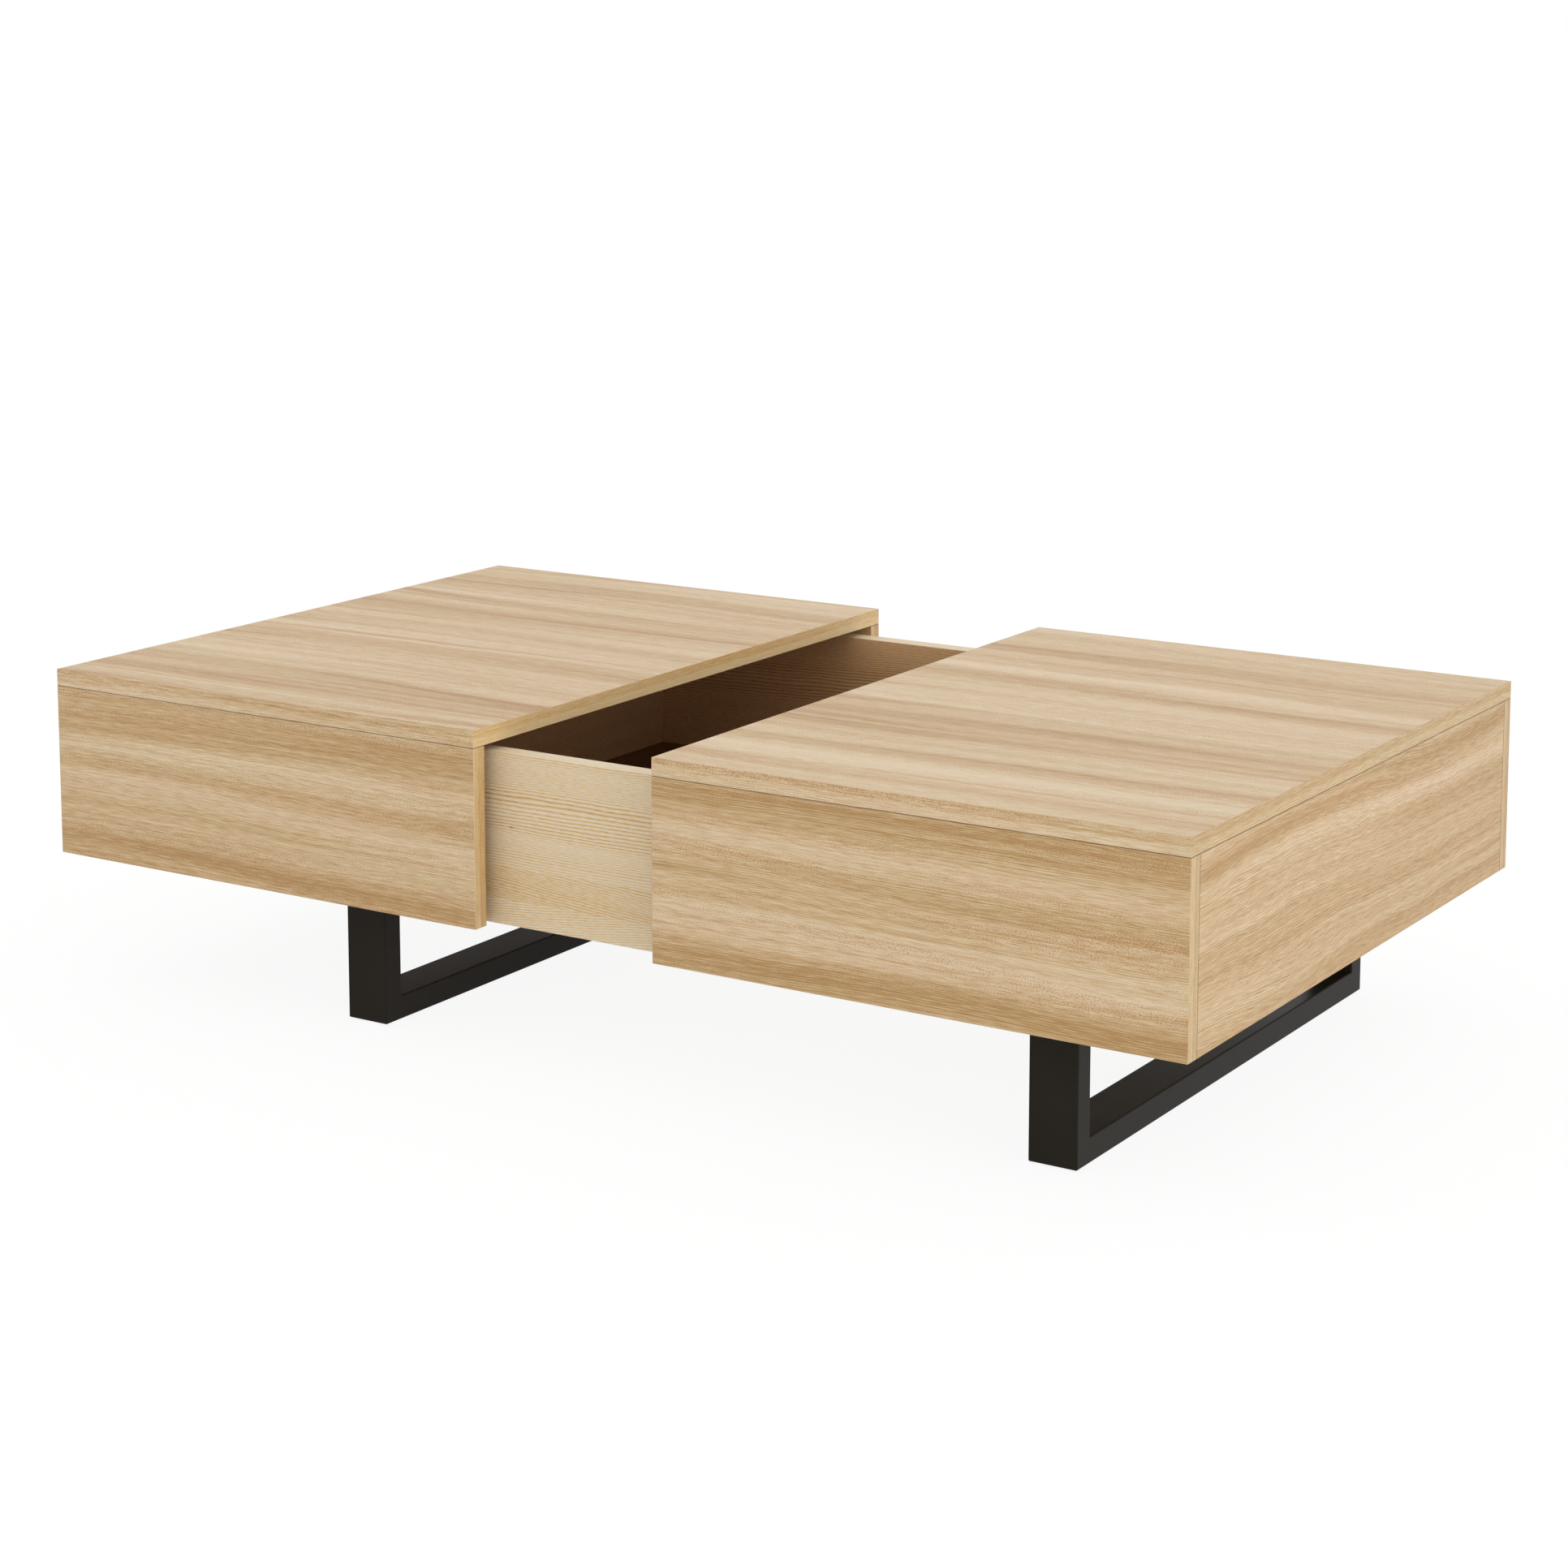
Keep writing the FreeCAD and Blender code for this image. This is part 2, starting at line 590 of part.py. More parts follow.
class Slides:
    """The pair of ball-bearing slides that carries one half, front and rear.

    The outer rails are screwed to the box, the inner rails to the half's panels, and the middle
    rails and the ball cages run between them.
    """

    def __init__(self, half, box, sleeve):
        self.half = half
        self.box_screws = []
        self.sleeve_screws = []
        self.cages = {"outer": [], "inner": []}
        self.balls = {"outer": [], "inner": []}
        for name, y in FRONT_AND_REAR:
            self.outer_rail(name, y, box.walls[name])
            self.middle_rail(name, y)
            self.inner_rail(name, y, sleeve.panels[name])
            for kind, share in CAGE_SHARES.items():
                self.ball_rows(kind, y, half.way(share))
        group(f"{half.name}_box_rail_screws", self.box_screws)
        group(f"{half.name}_sleeve_rail_screws", self.sleeve_screws)
        for kind in CAGE_SHARES:
            group(f"{half.name}_{kind}_ball_cages", self.cages[kind])
            group(f"{half.name}_{kind}_balls", self.balls[kind])

    def channel(self, label, x, y, web, reach, half_height, lip=None):
        """A C-shaped rail: a web, flanges above and below it, and lips if it has them.

        Web and reach are the near and far depths of the web and the flanges from the box wall,
        and the lips turn in at the flanges' far ends.
        """
        x_low = x.low(RAIL_NEAR, BOX_END)
        near, far = (f"{BOX_OUT} + {depth}" for depth in web)
        rail = Piece(
            label,
            (x_low, y.low(near, far), f"{RAIL_LEVEL} - {half_height}"),
            ("rail_length", "rail_sheet", f"2 * {half_height}"),
        )
        flange_near, flange_far = (f"{BOX_OUT} + {depth}" for depth in reach)
        flange_y = y.low(flange_near, flange_far)
        flange_deep = f"{flange_far} - ({flange_near})"
        lower = f"{RAIL_LEVEL} - {half_height}"
        upper = f"{RAIL_LEVEL} + {half_height} - rail_sheet"
        flange = ("rail_length", flange_deep, "rail_sheet")
        for level in (lower, upper):
            rail.block("AdditiveBox", (x_low, flange_y, level), flange)
        if lip:
            lip_y = y.low(f"{flange_far} - rail_sheet", flange_far)
            lip_size = ("rail_length", "rail_sheet", f"rail_sheet + {lip}")
            for level in (lower, f"{upper} - {lip}"):
                rail.block("AdditiveBox", (x_low, lip_y, level), lip_size)
        return rail

    def screw_sites(self, x):
        """Where a rail has its screws along X."""
        near = f"{RAIL_NEAR} + rail_screw_margin"
        far = f"{BOX_END} - rail_screw_margin"
        return [x.at(distance) for distance in (near, RAIL_MIDDLE, far)]

    def rail_screw(self, heading, at, rail, board):
        """A pan-head screw through a rail's web into a board."""
        return peg(heading, at, (
            ("rail_screw_head", "rail_screw_crown", None),
            ("rail_screw_radius", "rail_sheet", rail),
            ("rail_screw_radius", "rail_screw_depth", board),
        ))

    def outer_rail(self, name, y, wall):
        """The rail on the box's long wall."""
        x = self.half.way(0)
        label = f"{self.half.name}_{name}_slide_outer_rail"
        web = ("0", "rail_sheet")
        reach = ("0", "outer_rail_deep")
        lip = f"({OUTER_INSIDE} - {MIDDLE_OUTSIDE} - lip_gap)"
        rail = self.channel(label, x, y, web, reach, "(rail_height / 2)", lip)
        depth = f"{BOX_OUT} + rail_sheet + rail_screw_crown"
        for x_place in self.screw_sites(x):
            spot = (x_place, y.at(depth), RAIL_LEVEL)
            self.box_screws.append(self.rail_screw(y.back, spot, rail, wall))

    def middle_rail(self, name, y):
        """The rail that runs between the other two, at half the travel."""
        label = f"{self.half.name}_{name}_slide_middle_rail"
        x = self.half.way(MIDDLE_RAIL_SHARE)
        web = (MIDDLE_NEAR, f"{MIDDLE_NEAR} + rail_sheet")
        reach = (MIDDLE_NEAR, MIDDLE_FAR)
        lip = f"({MIDDLE_INSIDE} - {INNER_OUTSIDE} - lip_gap)"
        self.channel(label, x, y, web, reach, MIDDLE_OUTSIDE, lip)

    def inner_rail(self, name, y, panel):
        """The rail on the half's front or rear panel."""
        x = self.half.way(1)
        label = f"{self.half.name}_{name}_slide_inner_rail"
        web = ("slide_gap - rail_sheet", "slide_gap")
        reach = (INNER_NEAR, "slide_gap")
        rail = self.channel(label, x, y, web, reach, INNER_OUTSIDE)
        depth = f"{PANEL_IN} - rail_sheet - rail_screw_crown"
        for x_place in self.screw_sites(x):
            spot = (x_place, y.at(depth), RAIL_LEVEL)
            self.sleeve_screws.append(self.rail_screw(y.out, spot, rail, panel))

    def ball_rows(self, kind, y, x):
        """Two rows of balls, above and below a rail, each in a flat cage with round holes."""
        radius = f"{kind}_ball"
        y_place = y.at(f"{BOX_OUT} + {BALL_DEPTHS[kind]}")
        for sign in "-+":
            level = f"{RAIL_LEVEL} {sign} {BALL_HEIGHTS[kind]}"
            holes = []
            for count in range(BALLS_IN_A_ROW):
                offset = count - (BALLS_IN_A_ROW - 1) / 2
                x_place = x.at(f"{RAIL_MIDDLE} + {offset} * ball_pitch")
                ball = doc.addObject("Part::Sphere", "Ball")
                bind(ball, "Radius", radius)
                place(ball, (x_place, y_place, level))
                self.balls[kind].append(ball)
                bottom = (x_place, y_place, f"{level} - cage_sheet")
                holes.append(cylinder("+z", f"{radius} + cage_play", "2 * cage_sheet", bottom))
            strip = self.strip(radius, (x.at(RAIL_MIDDLE), y_place, level))
            self.cages[kind].append(cut(strip, fuse(holes)))

    def strip(self, radius, middle):
        """A ball cage's flat strip, before its holes are cut."""
        size = (
            f"({BALLS_IN_A_ROW - 1} * ball_pitch + 2 * cage_end)",
            f"(2 * ({radius} + cage_play + cage_rim))",
            "cage_sheet",
        )
        item = doc.addObject("Part::Box", "Strip")
        for prop, formula in zip(("Length", "Width", "Height"), size):
            bind(item, prop, formula)
        place(item, [f"{centre} - {extent} / 2" for centre, extent in zip(middle, size)])
        return item


def export():
    """Check every object and shape, then write each node's STEP file."""
    for item in doc.Objects:
        if {"Invalid", "Error"} & set(item.State):
            raise RuntimeError(f"{item.Label} failed: {item.State}")
    for node in nodes:
        if node.Shape.isNull() or not node.Shape.isValid():
            raise RuntimeError(f"{node.Label} has no valid shape")
    os.makedirs("parts", exist_ok=True)
    for node in nodes:
        node.Shape.exportStep(f"parts/{node.Label}.step")
        solids = node.Shape.Solids
        volume = sum(solid.Volume for solid in solids)
        print(f"{node.Label}: {len(solids)} solid(s), {volume:.0f} cubic mm")


fill_sheet()
doc.recompute()
box = StorageBox()
for half in (LEFT, RIGHT):
    LegFrame(half, box.bottom)
    Slides(half, box, Sleeve(half))
doc.recompute()
export()
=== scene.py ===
"""Dresses a sliding top coffee table and stands it in a plain studio. Lengths are in metres."""

import logging
import math
from dataclasses import dataclass, field, replace
from enum import Enum
from typing import Mapping, Optional, Sequence, Union

import bpy
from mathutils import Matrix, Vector


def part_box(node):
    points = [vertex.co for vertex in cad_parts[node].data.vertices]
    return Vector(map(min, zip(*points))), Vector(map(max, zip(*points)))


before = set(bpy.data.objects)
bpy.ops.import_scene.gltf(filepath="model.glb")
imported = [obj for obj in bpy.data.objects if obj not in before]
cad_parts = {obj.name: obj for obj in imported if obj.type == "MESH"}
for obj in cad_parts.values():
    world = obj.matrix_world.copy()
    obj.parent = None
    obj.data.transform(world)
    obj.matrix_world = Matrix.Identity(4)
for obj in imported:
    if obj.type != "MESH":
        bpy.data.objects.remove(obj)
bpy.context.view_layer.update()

LOG = logging.getLogger("coffee_table")

HALF_RIGHT = math.sqrt(0.5)  # cosine of the angle at which a board's face gives way to its edge
GROOVE = 0.0008  # half the width of the painted shade in a joint between two boards
FLUSH = (0.97, 0.8)  # how squarely a face looks across a joint where the painted shade begins and is full
STAGGER = 2.4  # how fast the start of a row of lumps moves to and fro from row to row
STAGGER_REACH = 0.5  # how far it moves, in lumps
EDGE_LAYER = 3.7  # how far the noise of an edge lies from that of a face
END_LAYER = 5.3  # how much further that of an end lies
STAVE_LAYER = 7.1  # how far the noise of one stave lies from that of the next
EDGE_CALM = 0.85  # how much less the grain wanders on an edge
OUTER_WANDER = 0.012  # how far the border between the halves of an edge wanders
OUTER_SOFT = 0.001  # half the width of that border
WHITE = "#ffffff"

Triple = tuple[float, float, float]
Span = tuple[float, float]  # in a finish, often where a soft step leaves 0 and reaches 1
Stops = Sequence[tuple[float, str]]


class Axis(Enum):
    """The directions of the frame, by their place in a vector."""

    X = 0
    Y = 1
    Z = 2


class Half(Enum):
    """The two halves of the table, by their side of the middle."""

    LEFT = "left"
    RIGHT = "right"


class Row(Enum):
    """The two long sides of the table."""

    FRONT = "front"
    REAR = "rear"


class Blend(Enum):
    """The ways in which a flat colour is laid over another."""

    MIX = "MIX"
    MULTIPLY = "MULTIPLY"
    SCREEN = "SCREEN"


class Wire:
    """A shader socket that takes part in Python arithmetic: each sum adds a Math node."""

    def __init__(self, graph: "Graph", socket: bpy.types.NodeSocket) -> None:
        """Keeps the socket and the graph that it belongs to."""
        self.graph = graph
        self.socket = socket

    def __add__(self, other: "Number") -> "Wire":
        """This value plus the other."""
        return self.graph.maths("ADD", self, other)

    def __radd__(self, other: "Number") -> "Wire":
        """The other value plus this."""
        return self.graph.maths("ADD", other, self)

    def __sub__(self, other: "Number") -> "Wire":
        """This value less the other."""
        return self.graph.maths("SUBTRACT", self, other)

    def __rsub__(self, other: "Number") -> "Wire":
        """The other value less this."""
        return self.graph.maths("SUBTRACT", other, self)

    def __mul__(self, other: "Number") -> "Wire":
        """This value times the other."""
        return self.graph.maths("MULTIPLY", self, other)

    def __rmul__(self, other: "Number") -> "Wire":
        """The other value times this."""
        return self.graph.maths("MULTIPLY", other, self)

    def __truediv__(self, other: "Number") -> "Wire":
        """This value over the other."""
        return self.graph.maths("DIVIDE", self, other)

    def __rtruediv__(self, other: "Number") -> "Wire":
        """The other value over this."""
        return self.graph.maths("DIVIDE", other, self)

    def __gt__(self, other: "Number") -> "Wire":
        """1 where this value is the greater, else 0."""
        return self.graph.maths("GREATER_THAN", self, other)

    def __lt__(self, other: "Number") -> "Wire":
        """1 where this value is the smaller, else 0."""
        return self.graph.maths("LESS_THAN", self, other)

    def __abs__(self) -> "Wire":
        """This value without its sign."""
        return self.graph.maths("ABSOLUTE", self)


Number = Union[Wire, float]


def rgba(code: str) -> tuple[float, float, float, float]:
    """Turns a colour code into the linear colour that a shader socket takes.

    Args:
        code: The colour as #rrggbb.

    Returns:
        Linear red, green, blue and an alpha of 1.
    """
    shares = [int(code[place:place + 2], 16) / 255 for place in (1, 3, 5)]
    linear = [
        share / 12.92 if share <= 0.04045 else ((share + 0.055) / 1.055) ** 2.4
        for share in shares
    ]
    return (*linear, 1.0)


class Graph:
    """The node tree of one material or of the world."""

    def __init__(self, owner: Union[bpy.types.Material, bpy.types.World]) -> None:
        """Empties the owner's node tree."""
        self.owner = owner
        owner.use_nodes = True
        self.tree = owner.node_tree
        self.tree.nodes.clear()

    @classmethod
    def of_material(cls, name: str) -> "Graph":
        """The empty graph of a new material."""
        return cls(bpy.data.materials.new(name))

    def node(
        self,
        kind: str,
        settings: Optional[Mapping[str, object]] = None,
        sockets: Optional[Mapping[Union[str, int], object]] = None,
    ) -> bpy.types.Node:
        """Adds a node of any type.

        Args:
            kind: The node's type.
            settings: Its own settings, which are set first; stops are a ramp's colours.
            sockets: The value or the wire of each input, by name or place.

        Returns:
            The node.
        """
        node = self.tree.nodes.new(kind)
        for name, value in (settings or {}).items():
            if name == "stops":
                self._set_stops(node.color_ramp, value)
            else:
                setattr(node, name, value)
        for name, value in (sockets or {}).items():
            if isinstance(value, Wire):
                self.tree.links.new(value.socket, node.inputs[name])
            else:
                node.inputs[name].default_value = value
        return node

    @staticmethod
    def _set_stops(ramp: bpy.types.ColorRamp, stops: Stops) -> None:
        """Gives a colour ramp its stops.

        Args:
            ramp: The ramp, as new, with two stops.
            stops: Each stop's place from 0 to 1 and its colour code, in order.
        """
        while len(ramp.elements) < len(stops):
            ramp.elements.new(0.5)
        for element, (place, _) in zip(ramp.elements, stops):
            element.position = place
        for element, (_, code) in zip(ramp.elements, stops):
            element.color = rgba(code)

    def wire(self, node: bpy.types.Node, output: Union[str, int] = 0) -> Wire:
        """The output of a node, by name or place, as a wire."""
        return Wire(self, node.outputs[output])

    def maths(self, operation: str, *values: Number) -> Wire:
        """The result of a Math node, whose operands are given in order."""
        settings = {"operation": operation}
        return self.wire(self.node("ShaderNodeMath", settings, dict(enumerate(values))))

    def vector(self, x: Number, y: Number, z: Number) -> Wire:
        """Joins three values into a vector."""
        return self.wire(self.node("ShaderNodeCombineXYZ", None, {0: x, 1: y, 2: z}))

    def split(self, vector: Wire) -> tuple[Wire, Wire, Wire]:
        """The three values of a vector."""
        node = self.node("ShaderNodeSeparateXYZ", None, {0: vector})
        return self.wire(node, 0), self.wire(node, 1), self.wire(node, 2)

    def cells(self, size: Triple) -> Wire:
        """The place on the surface, one unit to a cell of that size along each axis."""
        source = self.node("ShaderNodeTexCoord")
        sockets = {0: self.wire(source, "Object"), 1: size}
        return self.wire(self.node("ShaderNodeVectorMath", {"operation": "DIVIDE"}, sockets))

    def step(self, value: Number, low: float, high: float) -> Wire:
        """A soft step in a value.

        Args:
            value: What is looked at.
            low: Where the step starts to leave 0.
            high: Where it reaches 1; below low, the step falls instead.

        Returns:
            The step, from 0 to 1.
        """
        settings = {"interpolation_type": "SMOOTHSTEP"}
        sockets = {"Value": value, "From Min": low, "From Max": high}
        return self.wire(self.node("ShaderNodeMapRange", settings, sockets))

    def noise(self, place: Wire, detail: float = 2.0, roughness: float = 0.5) -> Wire:
        """Smooth noise about 0, mostly within 0.25 of it, in lumps one unit long."""
        sockets = {"Vector": place, "Scale": 1.0, "Detail": detail, "Roughness": roughness}
        return self.wire(self.node("ShaderNodeTexNoise", None, sockets)) - 0.5

    def specks(self, place: Wire, reach: float, share: Number) -> Wire:
        """Scattered specks, round in the units of their place.

        Args:
            place: Where they are read, one unit to a cell.
            reach: The radius of a speck in cells.
            share: The share of the cells that has one.

        Returns:
            1 within the inner 0.4 of a speck, falling softly to 0 at its rim.
        """
        cells = self.node("ShaderNodeTexVoronoi", None, {"Vector": place, "Scale": 1.0})
        chance = self.split(self.wire(cells, "Color"))[0]
        return self.step(self.wire(cells, "Distance"), reach, reach * 0.4) * (chance < share)

    def ramp(self, value: Wire, stops: Stops) -> Wire:
        """The colour of a value from 0 to 1 between stops of a place and a colour code."""
        return self.wire(self.node("ShaderNodeValToRGB", {"stops": stops}, {0: value}))

    def tint(
        self, factor: Number, colour: Wire, code: str, blend: Blend = Blend.MIX
    ) -> Wire:
        """Lays a flat colour over a colour.

        Args:
            factor: How much of it is laid on.
            colour: What it is laid on.
            code: The colour code.
            blend: How the two blend.

        Returns:
            The blended colour.
        """
        settings = {"data_type": "RGBA", "blend_type": blend.value}
        mix = self.node("ShaderNodeMix", settings, {0: factor, 6: colour, 7: rgba(code)})
        return self.wire(mix, 2)

    def surface(
        self,
        colour: Wire,
        roughness: Number,
        height: Optional[Wire] = None,
        constants: Optional[Mapping[str, float]] = None,
    ) -> bpy.types.Material:
        """Ends the graph in one surface shader.

        Args:
            colour: The colour over the surface.
            roughness: The roughness over the surface.
            height: The relief in metres.
            constants: What else the shader's own sockets hold.

        Returns:
            The material.
        """
        sockets = {"Base Color": colour, "Roughness": roughness, **(constants or {})}
        if height is not None:
            relief = {"Height": height, "Strength": 1.0, "Distance": 1.0}
            sockets["Normal"] = self.wire(self.node("ShaderNodeBump", None, relief))
        shader = self.node("ShaderNodeBsdfPrincipled", None, sockets)
        self.node("ShaderNodeOutputMaterial", None, {"Surface": self.wire(shader)})
        return self.owner


def third_axis(first: Axis, second: Axis) -> Axis:
    """The axis at right angles to both."""
    return next(axis for axis in Axis if axis not in (first, second))


@dataclass(frozen=True)
class Joint:
    """The groove where two boards meet.

    Attributes:
        axis: The axis across it.
        level: Where it lies on that axis.
    """

    axis: Axis
    level: float


@dataclass(frozen=True)
class Stave:
    """One of the strips that a solid board is glued up from.

    Attributes:
        level: Its upper border, across the grain.
        turn: How much more its grain rises than that of the strip above it.
        shade: How much darker it is than the strip above it.
    """

    level: float
    turn: float
    shade: float


@dataclass(frozen=True)
class Lay:
    """How the grain lies in one board.

    Attributes:
        through: The axis through the board's thickness.
        along: The axis that the grain follows.
        middle: The middle of the board's thickness.
        seed: Which piece of wood the board was cut from.
        start: What is added to a place along and across the grain to find it in that wood.
        joints: The grooves along its edges.
        tilt: How far the grain rises across for each metre along.
        flow: How far the grain wanders to and fro.
        sway: How far it sways in short waves.
        plain: How little of it is figured, from -0.3 for all to 0.3 for none.
        tone: How pale it is on the whole, from 0 to 1.
        banding: How pale its edges are on the whole.
        painted_end_light: How much painted light brightens and warms its ends.
        contrast: How strong its soft bands are.
        streaks: How strong its dark streaks are.
        heart: The level of a board's heart, across the grain.
        staves: The strips under its uppermost one, from the top.
        inward: The way through the thickness that faces the inside of a box, or 0.
        stain: The painted shade on that inside face.
        flecks: Where flecks of resin lie, along and across the grain.
    """

    through: Axis
    along: Axis
    middle: float
    seed: float
    start: Span = (0.0, 0.0)
    joints: Sequence[Joint] = ()
    tilt: float = 0.0
    flow: float = 0.022
    sway: float = 0.004
    plain: float = 0.0
    tone: float = 0.55
    banding: float = 0.5
    painted_end_light: float = 0.0
    contrast: float = 0.9
    streaks: float = 0.22
    heart: float = 0.0
    staves: Sequence[Stave] = ()
    inward: float = 0.0
    stain: str = WHITE
    flecks: Sequence[Span] = ()

    @property
    def across(self) -> Axis:
        """The axis across the grain on the broad face."""
        return third_axis(self.through, self.along)


@dataclass(frozen=True)
class Pattern:
    """Noise in lumps that lie along the grain.

    Attributes:
        length: How long a lump is, along the grain.
        width: How wide it is, across the grain.
        layer: Which layer of a board's noise it is.
        detail: How many finer layers lie on it.
        roughness: How strong each finer layer is.
        strength: How far it moves the tone, the rings or the lines that it works on.
    """

    length: float
    width: float
    layer: float
    detail: float = 1.0
    roughness: float = 0.5
    strength: float = 1.0


DRIFT = Pattern(0.5, 0.2, 0)
SWAY = Pattern(0.125, 0.0625, 9)
SHIVER = Pattern(0.02, 0.00625, 12, strength=0.0002)


@dataclass(frozen=True)
class Spot:
    """A point of a board, by the way of its grain.

    Attributes:
        graph: The material's graph.
        along: Metres along the grain.
        across: Metres across it.
        layer: The seed of its noise.
    """

    graph: Graph
    along: Wire
    across: Wire
    layer: Wire

    def cell(self, pattern: Pattern, staggered: bool = False) -> Wire:
        """Where the point lies in a pattern, one unit to a lump.

        Args:
            pattern: The pattern.
            staggered: Whether each row of lumps starts elsewhere, as long lumps need.

        Returns:
            The place, in the pattern's own layer.
        """
        run, row = self.along / pattern.length, self.across / pattern.width
        if staggered:
            run = run + self.graph.maths("SINE", row * STAGGER) * STAGGER_REACH
        return self.graph.vector(run, row, self.layer + pattern.layer)

    def noise(self, pattern: Pattern) -> Wire:
        """The noise of a pattern at the point."""
        return self.graph.noise(self.cell(pattern), pattern.detail, pattern.roughness)

    def rows(self, pattern: Pattern) -> Wire:
        """The noise of a pattern at the point, in staggered rows."""
        return self.graph.noise(
            self.cell(pattern, staggered=True), pattern.detail, pattern.roughness)


@dataclass(frozen=True)
class GrainPlace(Spot):
    """A point of a board, whose place across the grain follows the grain's wandering.

    Its seed is another one on the edges and on the ends.

    Attributes:
        rise: Metres across the grain, straight up the board.
        edge: 1 off the broad faces.
        end: 1 on the ends.
        outer: 1 in the half of an edge further up the board's thickness, with a wavy border.
        joint: 1 deep in a groove, falling to 0 beside it.
        inside: 1 on the face towards the inside of a box.
    """

    rise: Wire
    edge: Wire
    end: Wire
    outer: Wire
    joint: Number
    inside: Wire

    @classmethod
    def on(cls, graph: Graph, lay: Lay) -> "GrainPlace":
        """Reads the place from the board's own frame.

        Args:
            graph: The material's graph.
            lay: How the grain lies.

        Returns:
            The place, with the grain of each edge along its length.
        """
        source = graph.node("ShaderNodeTexCoord")
        place = graph.split(graph.wire(source, "Object"))
        facing = graph.split(graph.wire(source, "Normal"))
        broad = abs(facing[lay.through.value]) > HALF_RIGHT
        end = abs(facing[lay.along.value]) > HALF_RIGHT
        edge = 1 - broad
        run = place[lay.along.value] + lay.start[0]
        rise = place[lay.across.value] + lay.start[1]
        along = end * rise + (1 - end) * run
        depth = place[lay.through.value] - lay.middle
        across = broad * rise + edge * depth
        layer = lay.seed + edge * EDGE_LAYER + end * END_LAYER
        straight = Spot(graph, along, across, layer)
        drift = straight.noise(DRIFT)
        wander = drift * lay.flow + straight.noise(SWAY) * lay.sway
        line = across + along * lay.tilt + wander * (1 - edge * EDGE_CALM)
        line = line + straight.noise(SHIVER) * SHIVER.strength
        outer = graph.step(depth + drift * OUTER_WANDER, -OUTER_SOFT, OUTER_SOFT)
        joint = cls._joint(graph, lay, place, facing)
        inside = facing[lay.through.value] * lay.inward > HALF_RIGHT
        return cls(graph, along, line, layer, rise, edge, end, outer, joint, inside)

    @staticmethod
    def _joint(
        graph: Graph, lay: Lay, place: Sequence[Wire], facing: Sequence[Wire]
    ) -> Number:
        """How deep a point lies in one of the board's grooves.

        Args:
            graph: The material's graph.
            lay: Where the grooves are.
            place: The point.
            facing: Where the surface faces.

        Returns:
            1 deep in a groove, falling to 0 beside it.
        """
        depth: Number = 0.0
        for joint in lay.joints:
            gap = abs(place[joint.axis.value] - joint.level)
            turned = graph.step(abs(facing[joint.axis.value]), *FLUSH)
            depth = graph.maths("MAXIMUM", depth, graph.step(gap, GROOVE, 0.0) * turned)
        return depth


